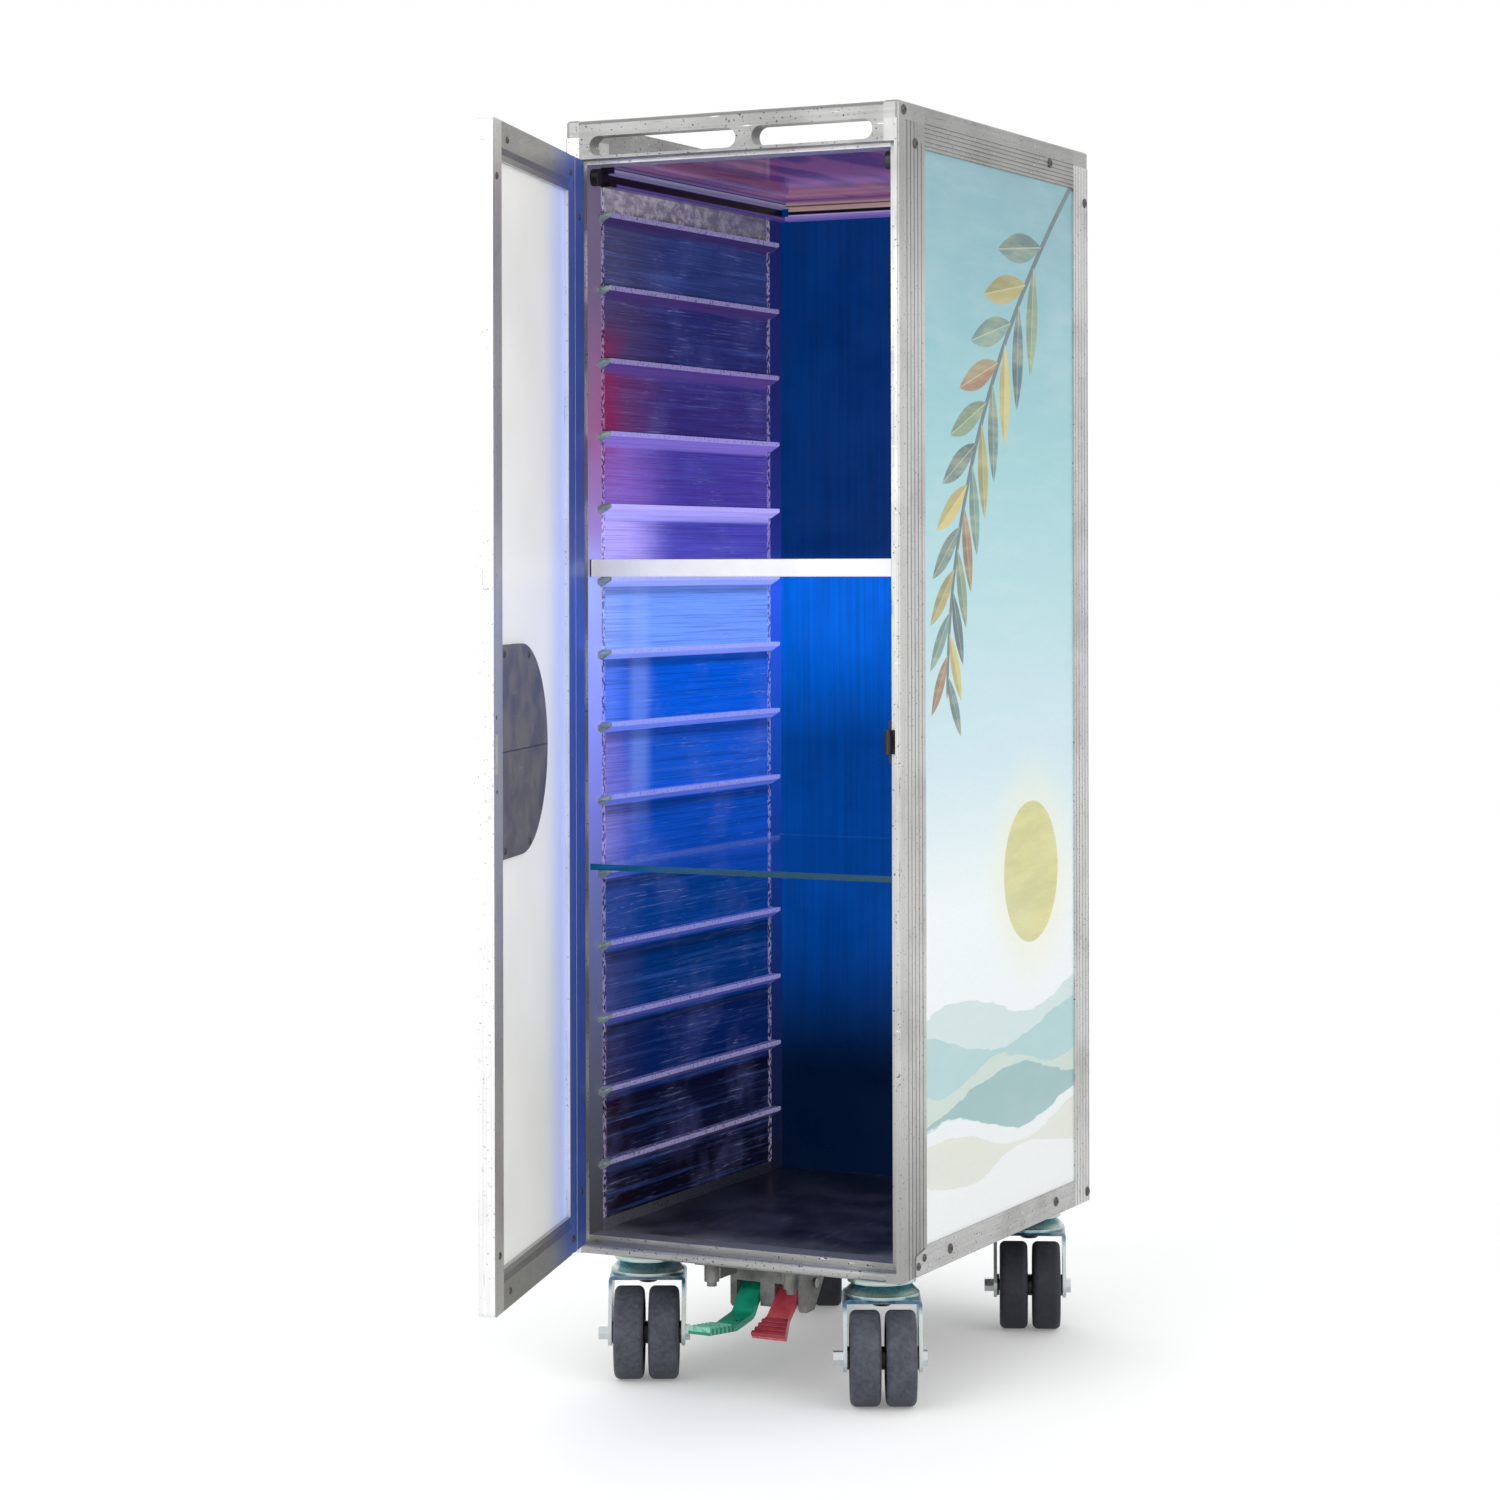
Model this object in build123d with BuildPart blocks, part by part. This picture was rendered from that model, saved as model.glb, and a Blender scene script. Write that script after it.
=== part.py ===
from build123d import *
from math import cos, radians, sin
import os

os.makedirs("parts", exist_ok=True)

# The cabinet: x runs across it, y from its front to its rear, z up from the floor.
cart_width = 300.0
cart_depth = 405.0
cart_height = 1030.0
ground_clearance = 103.5
wall = 13.0
bottom_rail_height = 22.0
top_rail_height = 34.0
tray_depth = 30.0
sheet = 2.0
skin = 1.5
overrun = 5.0

# Corner posts, extruded hollow with fine grooves, and the rebate that the door closes into.
front_post_depth = 50.0
front_post_core_depth = 36.0
rear_post_depth = 35.0
rear_post_core_depth = 57.0
post_edge = 4.0
post_lip = 1.6
post_nose_radius = 2.0
post_wall = 2.0
post_foot = 3.0
groove_count = 5
groove_pitch = 6.9
groove_margin = 15.6
groove_width = 1.2
groove_depth = 0.8
rear_groove_margin = 4.0
rail_groove_count = 6
rail_groove_pitch = 3.5
rail_groove_width = 0.9
rail_groove_margin = 2.5
cap_height = 14.0
cap_radius = 4.0
cap_edge_radius = 1.5
sill_height = 8.0
sill_nose_radius = 3.0
side_panel_thickness = 3.0
header_thickness = 3.0

# Gallery bars with two hand slots each.
gallery_depth = 15.0
gallery_top_radius = 5.0
slot_height = 16.0
slot_lift = 0.5
slot_margin = 9.6
bridge_width = 14.3
bridge_offset = 13.75

# Pressed runner walls.
runner_count = 14
runner_top_margin = 38.2
runner_bottom_margin = 49.7
runner_reach = 9.5
runner_root = 9.0
runner_nose = 3.0
runner_sheet = 1.2
plug_length = 7.0
plug_tip_share = 0.45

# Rails under the ceiling, shelves and light strip.
rail_ledge_width = 9.0
rail_ledge_thickness = 4.0
rail_groove_height = 8.0
rail_band_width = 7.0
rail_band_height = 7.0
rail_web = 1.6
shelf_setback = 14.5
shelf_rear_gap = 4.0
shelf_side_gap = 1.0
white_shelf_thickness = 14.2
white_shelf_edge_radius = 1.0
glass_thickness = 5.0
runners_above_glass_count = 9
runners_above_white_count = 5
strip_width = 8.0
strip_thickness = 2.2
strip_setback = 20.0
strip_end_gap = 6.0

# Door, drawn on a plane that turns about the hinge pin.
door_thickness = 13.0
door_stop_gap = 0.3
door_top_gap = 1.5
door_bottom_gap = 1.0
door_end_gap = 2.0
door_rest_angle = 73.76
hinge_stile_width = 47.5
latch_stile_width = 25.5
door_top_rail_height = 29.0
door_bottom_rail_height = 30.0
door_corner_radius = 4.0
glazing_thickness = 3.8
glazing_groove = 4.0
glazing_groove_depth = 6.0
glazing_edge_gap = 0.3
glazing_setback = 4.0
bead_line = 30.0
bead_line_width = 1.5
bead_line_depth = 0.8
bead_width = 9.0
bead_fall = 1.5

# Continuous hinge.
barrel_radius = 2.6
barrel_gap = 0.3
leaf_thickness = 0.8
leaf_gap = 0.3
leaf_width = 12.0
leaf_end_gap = 2.0
pin_radius = 1.3
pin_clearance = 0.05
knuckle_count = 16
knuckle_gap = 0.4
knuckle_web_near = 1.2
knuckle_web_far = 2.0

# Latch: a pressed cup on the outside, a cover inside, a quarter-turn lever and its bolt.
latch_centre_height = 527.0
latch_centre_setback = 60.0
latch_radius = 80.0
cup_radius = 74.0
cup_floor_depth = 1.6
cup_floor_thickness = 1.2
cup_wall = 1.5
cup_rim_height = 2.5
latch_side_gap = 1.1
cover_setback = 1.0
cup_clearance = 0.3
lever_length = 55.0
lever_hub_radius = 13.0
lever_tip_radius = 7.0
lever_thickness = 3.0
lever_gap = 1.0
spindle_radius = 5.0
spindle_clearance = 0.05
cam_radius = 9.0
cam_thickness = 2.6
cam_gap = 0.5
bolt_height = 10.0
bolt_thickness = 1.8
bolt_clearance = 0.3
bolt_tip_gap = 1.0
pocket_width = 10.0
pocket_height = 29.0
pocket_skin = 2.2
pocket_wall = 1.8
striker_width = 7.0
striker_height = 19.0
striker_nose = 10.0
striker_nose_radius = 3.3
striker_plate_height = 33.0
striker_plate_length = 5.5
striker_plate_thickness = 2.6
striker_pocket_gap = 1.3
eye_margin = 0.5

# Casters: a fixed plate with its race, a kingpin, a swivelling fork and two wheels on one bolt.
swivel_inset = 43.5
front_swivel_inset = 58.0
rear_swivel_inset = 36.0
front_trail_angle = 26.5
rear_trail_angle = 23.0
rear_left_trail_angle = 26.0
trail = 32.0
wheel_radius = 37.5
wheel_width = 24.3
wheel_gap = 4.0
shoulder_radius = 5.0
tyre_inner_radius = 28.0
hub_radius = 12.0
disc_recess = 3.0
recess_slope = 1.5
fork_inside = 57.0
fork_plate = 3.0
fork_bend_radius = 4.0
fork_crown_top = 82.0
fork_crown_front = 24.0
fork_crown_rear = 26.0
fork_crown_side = 7.0
fork_boss_radius = 11.0
race_radius = 30.5
race_rim = 2.5
race_neck_radius = 23.5
race_height = 9.0
race_gap = 0.3
ball_ring_radius = 19.0
ball_ring_height = 1.7
disc_radius = 27.5
disc_shoulder = 2.0
plate_length = 70.0
plate_width = 66.0
plate_thickness = 4.0
plate_radius = 8.0
kingpin_radius = 8.0
kingpin_clearance = 0.05
kingpin_head_radius = 12.0
kingpin_tip_radius = 7.0
kingpin_head_height = 5.7
kingpin_edge = 1.5
axle_radius = 5.0
axle_clearance = 0.05
spacer_radius = 9.2
spacer_clearance = 0.3
bolt_head_size = 12.3
bolt_head_height = 8.0
nut_size = 13.4
nut_height = 4.0

# Brake: a cast housing with two pedals on one shaft.
housing_width = 92.0
housing_front = 26.0
housing_rear = 136.0
housing_plate = 6.0
boss_radius = 6.2
boss_offset = 36.0
boss_depth = 37.0
boss_height = 14.5
boss_tip_radius = 4.0
boss_tip_height = 4.0
cheek_inside = 28.0
cheek_thickness = 6.0
cheek_front = 66.0
cheek_rear = 115.0
cheek_heel = 84.0
cheek_height = 40.5
cheek_corner = 3.0
rib_height = 12.0
lip_thickness = 4.0
lip_height = 18.0
web_thickness = 13.0
web_height = 37.5
web_rear = 98.0
shaft_depth = 85.0
shaft_height = 79.0
shaft_radius = 4.0
shaft_clearance = 0.05
shaft_proud = 2.0
pedal_arm_width = 19.5
pedal_thickness = 5.0
pedal_hub_radius = 7.0
pedal_rib_height = 1.5
pedal_rib_width = 2.6
green_rib_count = 6
green_rib_pitch = 7.0
green_route = ((85.0, 79.0), (70.0, 70.0), (56.0, 53.5), (26.0, 49.5), (-21.0, 55.0))
red_route = ((85.0, 79.0), (69.0, 68.5), (52.0, 54.5), (34.0, 42.5))
red_rib_count = 4
red_rib_pitch = 4.6
red_pad_width = 31.0
route_bend = 9.0

# Places that follow from those sizes.
half_width = cart_width / 2
inner_half = half_width - wall
body_top = cart_height
roof_top = cart_height - tray_depth
roof_under = roof_top - sheet
rebate_depth = door_thickness + door_stop_gap
rebate_bottom = ground_clearance + sill_height
floor_top = ground_clearance + wall
side_bottom = ground_clearance + bottom_rail_height
side_top = cart_height - top_rail_height
cap_bottom = cart_height - cap_height
rebate_side = half_width - post_edge
panel_seat = half_width - post_lip - side_panel_thickness
pivot_offset = rebate_side - leaf_thickness + barrel_radius
hinge_setback = barrel_radius + barrel_gap
door_start = barrel_radius + leaf_gap + leaf_thickness
door_end = rebate_side - door_end_gap + pivot_offset
door_outer = hinge_setback
door_inner = door_outer + door_thickness
door_bottom = rebate_bottom + door_bottom_gap
door_top = roof_under - door_top_gap
door_height = door_top - door_bottom
opened = radians(door_rest_angle)
door_reach = door_outer + door_end * sin(opened) - door_outer * cos(opened)
swivel_x = half_width - swivel_inset
toed_out = radians(front_trail_angle)
wheel_reach = (
    swivel_x
    + (trail + wheel_radius - shoulder_radius) * sin(toed_out)
    + (wheel_gap / 2 + wheel_width - shoulder_radius) * cos(toed_out)
    + shoulder_radius
)

# The origin lies on the floor, midway between the open door's free edge and the rear, and
# midway between the hinge on the left and the turned caster on the right.
middle = (pivot_offset + barrel_radius - wheel_reach) / 2
pivot_x = middle - pivot_offset
front = (door_reach - cart_depth) / 2
rear = front + cart_depth
post_back = front + front_post_depth
core_back = front + front_post_core_depth
rear_post_front = rear - rear_post_depth
rear_core_front = rear - rear_post_core_depth
back_wall_front = rear_post_front
bay_length = rear_core_front - core_back
inner_left = middle - inner_half
inner_right = middle + inner_half


def save(part, name):
    """Labels a finished piece and writes it under its name."""
    part.label = name
    export_step(part, f"parts/{name}.step")


def patch(across, up, mode=Mode.ADD):
    """Draws a rectangle between two pairs of edges on the sketch being built."""
    with Locations(((across[0] + across[1]) / 2, (up[0] + up[1]) / 2)):
        Rectangle(abs(across[1] - across[0]), abs(up[1] - up[0]), mode=mode)


def mirrored(side, near, far):
    """A pair of x edges on the left (-1) or right (1) of the cabinet."""
    return (middle + side * near, middle + side * far)


# Front posts. The core carries the door stop; a thin lip runs on over the side panel's edge.
def front_post(side, name):
    with BuildPart() as post:
        with BuildSketch(Plane.XY.offset(ground_clearance)) as section:
            patch(mirrored(side, inner_half, half_width), (front, core_back))
            patch(mirrored(side, half_width - post_lip, half_width), (core_back, post_back))
            nose = section.vertices().sort_by(Axis.Y)[0:2].sort_by(Axis.X)
            fillet(nose[-1] if side > 0 else nose[0], radius=post_nose_radius)
            grooves = [
                (middle + side * half_width, front + groove_margin + k * groove_pitch)
                for k in range(groove_count)
            ]
            with Locations(*grooves):
                Rectangle(2 * groove_depth, groove_width, mode=Mode.SUBTRACT)
        extrude(amount=cap_bottom - ground_clearance)
        with BuildSketch(Plane.XY.offset(ground_clearance + post_foot)):
            patch(
                mirrored(side, inner_half + post_wall, half_width - post_wall),
                (front + rebate_depth + post_wall, core_back - post_wall),
            )
        extrude(amount=cart_height, mode=Mode.SUBTRACT)
        with BuildSketch(Plane.XY.offset(rebate_bottom)):
            patch(
                mirrored(side, inner_half - overrun, rebate_side),
                (front - overrun, front + rebate_depth),
            )
        extrude(amount=roof_under - rebate_bottom, mode=Mode.SUBTRACT)
        with BuildSketch(Plane.XY.offset(roof_top)):
            patch(mirrored(side, inner_half, half_width), (core_back, post_back))
        extrude(amount=cap_bottom - roof_top)
    save(post.part, name)


front_post(-1, "post_front_left")
front_post(1, "post_front_right")

# Rear posts: the core stands forward of the outer face, behind the runner wall's end.
with BuildPart() as posts_rear:
    with BuildSketch(Plane.XY.offset(ground_clearance)) as section:
        for side in (-1, 1):
            patch(mirrored(side, inner_half, half_width), (rear_post_front, rear))
        corners = section.vertices().group_by(Axis.Y)[-1].sort_by(Axis.X)
        fillet([corners[0], corners[-1]], radius=post_nose_radius)
        grooves = [
            (middle + side * half_width, rear_post_front + rear_groove_margin + k * groove_pitch)
            for side in (-1, 1)
            for k in range(groove_count)
        ]
        with Locations(*grooves):
            Rectangle(2 * groove_depth, groove_width, mode=Mode.SUBTRACT)
    extrude(amount=cap_bottom - ground_clearance)
    with BuildSketch(Plane.XY.offset(ground_clearance + post_foot)):
        for side in (-1, 1):
            patch(
                mirrored(side, inner_half + post_wall, half_width - post_wall),
                (rear_post_front + post_wall, rear - post_wall),
            )
    extrude(amount=cart_height, mode=Mode.SUBTRACT)
    with BuildSketch(Plane.XY.offset(ground_clearance)):
        for side in (-1, 1):
            patch(mirrored(side, inner_half, panel_seat), (rear_core_front, rear_post_front))
    extrude(amount=side_top - ground_clearance)
save(posts_rear.part, "posts_rear")

# Corner caps on the four posts.
with BuildPart() as corner_caps:
    with BuildSketch(Plane.XY.offset(cap_bottom)) as section:
        for side in (-1, 1):
            patch(mirrored(side, inner_half, half_width), (front, post_back))
            patch(mirrored(side, inner_half, half_width), (rear_post_front, rear))
        front_corners = section.vertices().group_by(Axis.Y)[0].sort_by(Axis.X)
        rear_corners = section.vertices().group_by(Axis.Y)[-1].sort_by(Axis.X)
        outer_corners = [front_corners[0], front_corners[-1], rear_corners[0], rear_corners[-1]]
        fillet(outer_corners, radius=cap_radius)
    extrude(amount=cap_height)
    chamfer(corner_caps.faces().filter_by(Axis.Z).group_by(Axis.Z)[-1].edges(), length=cap_edge_radius)
save(corner_caps.part, "corner_caps")

# Grooved side rails of the top tray.
with BuildPart() as top_rails:
    with BuildSketch(Plane.XZ.offset(-post_back)) as section:
        for side in (-1, 1):
            patch(mirrored(side, inner_half, half_width), (side_top, body_top))
        top_corners = section.vertices().group_by(Axis.Y)[-1].sort_by(Axis.X)
        fillet([top_corners[0], top_corners[-1]], radius=post_nose_radius)
        grooves = [
            (middle + side * half_width, side_top + rail_groove_margin + k * rail_groove_pitch)
            for side in (-1, 1)
            for k in range(rail_groove_count)
        ]
        with Locations(*grooves):
            Rectangle(2 * groove_depth, rail_groove_width, mode=Mode.SUBTRACT)
    extrude(amount=post_back - rear_post_front)
save(top_rails.part, "top_rails")


# Gallery bars. The bridge between the two hand slots stands off centre.
def gallery(y_front, turn, name):
    with BuildPart() as bar:
        with BuildSketch(Plane.YZ.offset(inner_left)) as section:
            patch((y_front, y_front + gallery_depth), (roof_under, body_top))
            fillet(section.vertices().group_by(Axis.Y)[-1], radius=gallery_top_radius)
        extrude(amount=2 * inner_half)
        slot_level = roof_top + slot_lift + slot_height / 2
        bridge = middle + turn * bridge_offset
        with BuildSketch(Plane.XZ.offset(-y_front)):
            for near, far in (
                (inner_left + slot_margin, bridge - bridge_width / 2),
                (bridge + bridge_width / 2, inner_right - slot_margin),
            ):
                with Locations(((near + far) / 2, slot_level)):
                    SlotOverall(far - near, slot_height)
        extrude(amount=-gallery_depth, mode=Mode.SUBTRACT)
    save(bar.part, name)


gallery(front, 1, "gallery_front")
gallery(rear - gallery_depth, -1, "gallery_rear")

# Header behind the top of the door: its stop, and the roof's front support.
with BuildPart() as header_front:
    with BuildSketch(Plane.XY.offset(roof_under - header_thickness)):
        patch((inner_left, inner_right), (front + rebate_depth, core_back))
    extrude(amount=header_thickness)
save(header_front.part, "header_front")

# Sill under the door, rounded in front, with the door stop as a step behind.
with BuildPart() as sill_front:
    with BuildSketch(Plane.YZ.offset(inner_left)) as section:
        with BuildLine():
            Polyline(
                (front, ground_clearance),
                (core_back, ground_clearance),
                (core_back, floor_top),
                (front + rebate_depth, floor_top),
                (front + rebate_depth, rebate_bottom),
                (front, rebate_bottom),
                close=True,
            )
        make_face()
        fillet(section.vertices().group_by(Axis.X)[0], radius=sill_nose_radius)
    extrude(amount=2 * inner_half)
save(sill_front.part, "sill_front")

# Rails round the floor.
with BuildPart() as bottom_rails:
    with BuildSketch(Plane.XZ.offset(-core_back)):
        for side in (-1, 1):
            patch(mirrored(side, inner_half, half_width - post_lip), (ground_clearance, side_bottom))
    extrude(amount=core_back - post_back)
    with BuildSketch(Plane.XZ.offset(-post_back)):
        for side in (-1, 1):
            patch(mirrored(side, inner_half, half_width), (ground_clearance, side_bottom))
    extrude(amount=post_back - rear_core_front)
    with BuildSketch(Plane.XZ.offset(-rear_core_front)):
        for side in (-1, 1):
            patch(mirrored(side, panel_seat, half_width), (ground_clearance, side_bottom))
    extrude(amount=rear_core_front - rear_post_front)
save(bottom_rails.part, "bottom_rails")

with BuildPart() as bottom_rail_rear:
    with BuildSketch(Plane.YZ.offset(inner_left)):
        patch((rear - wall, rear), (ground_clearance, side_bottom))
    extrude(amount=2 * inner_half)
save(bottom_rail_rear.part, "bottom_rail_rear")

# Floor and roof.
with BuildPart() as floor_pan:
    with BuildSketch(Plane.XY.offset(ground_clearance)):
        patch((inner_left, inner_right), (core_back, rear - wall))
    extrude(amount=wall)
save(floor_pan.part, "floor_pan")

with BuildPart() as roof_panel:
    with BuildSketch(Plane.XY.offset(roof_under)):
        patch((inner_left, inner_right), (front + gallery_depth, rear - gallery_depth))
    extrude(amount=sheet)
save(roof_panel.part, "roof_panel")

# Outer side panels, held under the front posts' lips.
for side, name in ((-1, "side_panel_left"), (1, "side_panel_right")):
    with BuildPart() as side_panel:
        with BuildSketch(Plane.XY.offset(side_bottom)):
            patch(mirrored(side, panel_seat, half_width - post_lip), (core_back, rear_post_front))
        extrude(amount=side_top - side_bottom)
    save(side_panel.part, name)

# Rear: an outer panel, and an inner wall in line with the rear posts' front.
with BuildPart() as rear_panel:
    with BuildSketch(Plane.XY.offset(side_bottom)):
        patch((inner_left, inner_right), (rear - sheet - skin, rear - skin))
    extrude(amount=roof_under - side_bottom)
save(rear_panel.part, "rear_panel")

with BuildPart() as back_wall:
    with BuildSketch(Plane.XY.offset(floor_top)):
        patch((inner_left, inner_right), (back_wall_front, back_wall_front + skin))
    extrude(amount=roof_under - floor_top)
save(back_wall.part, "back_wall")

# Runners. Each has a level top and a sloping underside, and is open behind.
first_runner_top = side_top - runner_top_margin
runner_pitch = (first_runner_top - side_bottom - runner_bottom_margin) / (runner_count - 1)
runner_tops = [first_runner_top - k * runner_pitch for k in range(runner_count)]


def runner_points(top, reach, thickness):
    """One runner's outline seen from the front, from its upper root to its lower root."""
    return [
        (inner_half + thickness, top - thickness),
        (inner_half - reach + thickness, top - thickness),
        (inner_half - reach + thickness, top - runner_nose + thickness / 2),
        (inner_half + thickness, top - runner_root),
    ]


# Runner walls: one pressed sheet a side, with its runners folded into the section.
for side, name in ((-1, "runner_wall_left"), (1, "runner_wall_right")):
    face_points = [(inner_half, side_top)]
    back_points = [(inner_half + runner_sheet, side_top)]
    for top in runner_tops:
        face_points += runner_points(top, runner_reach, 0)
        back_points += runner_points(top, runner_reach, runner_sheet)
    face_points.append((inner_half, side_bottom))
    back_points.append((inner_half + runner_sheet, side_bottom))
    outline = [(middle + side * x, z) for x, z in face_points + back_points[::-1]]
    with BuildPart() as runner_wall:
        with BuildSketch(Plane.XZ.offset(-core_back)):
            with BuildLine():
                Polyline(*outline, close=True)
            make_face()
        extrude(amount=-bay_length)
    save(runner_wall.part, name)


# Plugs that close the runners' ends, each a short wedge.
def plug_section(side, top, y, share):
    """A runner's outline at one end of a plug, drawn in towards the wall by a share."""
    wall_face = middle + side * inner_half
    tip = wall_face - side * runner_reach * share
    level = top - runner_root * (1 - share) / 2
    with BuildSketch(Plane.XZ.offset(-y)) as section:
        with BuildLine():
            Polyline(
                (wall_face, level),
                (tip, level),
                (tip, level - runner_nose * share),
                (wall_face, level - runner_root * share),
                close=True,
            )
        make_face()
    return section.sketch


def wedge(side, top, start, end):
    """Lofts a plug from a runner's full section down to a low toe."""
    loft([plug_section(side, top, start, 1), plug_section(side, top, end, plug_tip_share)])


with BuildPart() as runner_plugs:
    for side in (-1, 1):
        for top in runner_tops:
            wedge(side, top, core_back, core_back - plug_length)
            wedge(side, top, rear_core_front, rear_core_front + plug_length)
save(runner_plugs.part, "runner_plugs")

# Slide rails under the ceiling, grooved along their inner face.
rail_ledge_bottom = roof_under - rail_band_height - rail_groove_height - rail_ledge_thickness
rail_section = [
    (0, rail_ledge_bottom),
    (rail_ledge_width, rail_ledge_bottom),
    (rail_ledge_width, rail_ledge_bottom + rail_ledge_thickness),
    (rail_web, rail_ledge_bottom + rail_ledge_thickness),
    (rail_web, roof_under - rail_band_height),
    (rail_band_width, roof_under - rail_band_height),
    (rail_band_width, roof_under),
    (0, roof_under),
]
header_under = roof_under - header_thickness

with BuildPart() as slide_rails:
    with BuildSketch(Plane.XZ.offset(-core_back)):
        for side in (-1, 1):
            with BuildLine():
                Polyline(*[(middle + side * (inner_half - x), z) for x, z in rail_section], close=True)
            make_face()
    extrude(amount=core_back - back_wall_front)
save(slide_rails.part, "slide_rails")

rear_rail_half = inner_half - rail_ledge_width
with BuildPart() as slide_rail_rear:
    with BuildSketch(Plane.YZ.offset(middle - rear_rail_half)):
        with BuildLine():
            Polyline(*[(back_wall_front - y, z) for y, z in rail_section], close=True)
        make_face()
    extrude(amount=2 * rear_rail_half)
save(slide_rail_rear.part, "slide_rail_rear")

# Shelves, which rest on the runners.
shelf_front = front + shelf_setback
shelf_back = back_wall_front - shelf_rear_gap
shelf_half = inner_half - shelf_side_gap
white_shelf_bottom = runner_tops[runners_above_white_count]
glass_shelf_bottom = runner_tops[runners_above_glass_count]

with BuildPart() as shelf_white:
    with BuildSketch(Plane.XY.offset(white_shelf_bottom)):
        patch((middle - shelf_half, middle + shelf_half), (shelf_front, shelf_back))
    extrude(amount=white_shelf_thickness)
    front_edges = shelf_white.edges().filter_by(Axis.X).group_by(Axis.Y)[0]
    fillet(front_edges, radius=white_shelf_edge_radius)
save(shelf_white.part, "shelf_white")

with BuildPart() as shelf_glass:
    with BuildSketch(Plane.XY.offset(glass_shelf_bottom)):
        patch((middle - shelf_half, middle + shelf_half), (shelf_front, shelf_back))
    extrude(amount=glass_thickness)
save(shelf_glass.part, "shelf_glass")

# Light strip in two lengths on the right front post, one above each shelf.
strip_spans = (
    (glass_shelf_bottom + glass_thickness + strip_end_gap, white_shelf_bottom - strip_end_gap),
    (white_shelf_bottom + white_shelf_thickness + strip_end_gap, header_under - strip_end_gap),
)
with BuildPart() as led_strip:
    for low, high in strip_spans:
        with BuildSketch(Plane.XY.offset(low)):
            patch(
                (inner_right - strip_thickness, inner_right),
                (front + strip_setback, front + strip_setback + strip_width),
            )
        extrude(amount=high - low)
save(led_strip.part, "led_strip")

# Door. Its plane stands at the hinge pin: x along the door, y from its outer face inwards.
along = (cos(opened), -sin(opened), 0)
inward = (sin(opened), cos(opened), 0)
door_plane = Plane(origin=(pivot_x, front - hinge_setback, 0), x_dir=along, z_dir=(0, 0, 1))
face_plane = Plane(origin=door_plane.origin, x_dir=along, z_dir=(-inward[0], -inward[1], 0))
rail_plane = Plane(origin=door_plane.origin, x_dir=inward, z_dir=along)

groove_near = door_outer + glazing_setback
groove_far = groove_near + glazing_groove
bead_start = door_start + hinge_stile_width - bead_width
stile_edge = door_start + hinge_stile_width
latch_edge = door_end - latch_stile_width
line_start = door_start + bead_line

# Hinge stile, with a bead line, a sloping glazing bead and the glazing groove in its edge.
with BuildPart() as door_stile_hinge:
    with BuildSketch(door_plane.offset(door_bottom)):
        with BuildLine():
            Polyline(
                (door_start, door_outer),
                (stile_edge, door_outer),
                (stile_edge, groove_near),
                (stile_edge - glazing_groove_depth, groove_near),
                (stile_edge - glazing_groove_depth, groove_far),
                (stile_edge, groove_far),
                (stile_edge, door_inner - bead_fall),
                (bead_start, door_inner),
                (line_start + bead_line_width, door_inner),
                (line_start + bead_line_width, door_inner - bead_line_depth),
                (line_start, door_inner - bead_line_depth),
                (line_start, door_inner),
                (door_start, door_inner),
                close=True,
            )
        make_face()
    extrude(amount=door_height)
save(door_stile_hinge.part, "door_stile_hinge")

# Latch stile, with the striker's pocket in its inner face and the bolt's way into it.
pocket_end = door_end - pocket_wall
pocket_start = pocket_end - pocket_width
cover_far = door_inner - cover_setback
cover_face = cover_far - cup_wall
bolt_far = cover_face - bolt_clearance
bolt_near = bolt_far - bolt_thickness
latch_level = latch_centre_height
with BuildPart() as door_stile_latch:
    with BuildSketch(face_plane.offset(-door_inner)) as front_view:
        patch((latch_edge, door_end), (door_bottom, door_top))
        fillet(front_view.vertices().group_by(Axis.X)[-1], radius=door_corner_radius)
    extrude(amount=door_thickness)
    with BuildSketch(door_plane.offset(door_bottom)):
        patch((latch_edge, latch_edge + glazing_groove_depth), (groove_near, groove_far))
    extrude(amount=door_height, mode=Mode.SUBTRACT)
    with BuildSketch(door_plane.offset(latch_level - pocket_height / 2)):
        patch((pocket_start, pocket_end), (door_outer + pocket_skin, door_inner))
    extrude(amount=pocket_height, mode=Mode.SUBTRACT)
    bolt_way = bolt_height + 2 * bolt_clearance
    with BuildSketch(door_plane.offset(latch_level - bolt_way / 2)):
        patch((latch_edge, pocket_start), (bolt_near - bolt_clearance, bolt_far + bolt_clearance))
    extrude(amount=bolt_way, mode=Mode.SUBTRACT)
save(door_stile_latch.part, "door_stile_latch")


# Door rails between the stiles. The bead steps down towards the glazing.
def door_rail(outer_level, inner_level, name):
    toward = 1 if inner_level > outer_level else -1
    groove_bottom = inner_level - toward * glazing_groove_depth
    with BuildPart() as rail:
        with BuildSketch(rail_plane.offset(stile_edge)):
            with BuildLine():
                Polyline(
                    (door_outer, outer_level),
                    (door_inner, outer_level),
                    (door_inner, inner_level - toward * bead_width),
                    (door_inner - bead_fall, inner_level - toward * bead_width / 2),
                    (door_inner - bead_fall, inner_level),
                    (groove_far, inner_level),
                    (groove_far, groove_bottom),
                    (groove_near, groove_bottom),
                    (groove_near, inner_level),
                    (door_outer, inner_level),
                    close=True,
                )
            make_face()
        extrude(amount=latch_edge - stile_edge)
    save(rail.part, name)


glazing_bottom = door_bottom + door_bottom_rail_height
glazing_top = door_top - door_top_rail_height
door_rail(door_bottom, glazing_bottom, "door_rail_bottom")
door_rail(door_top, glazing_top, "door_rail_top")

# Latch outline: a half disc towards the hinge, straight towards the latch stile.
latch_s = latch_edge - latch_side_gap - latch_centre_setback


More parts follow.
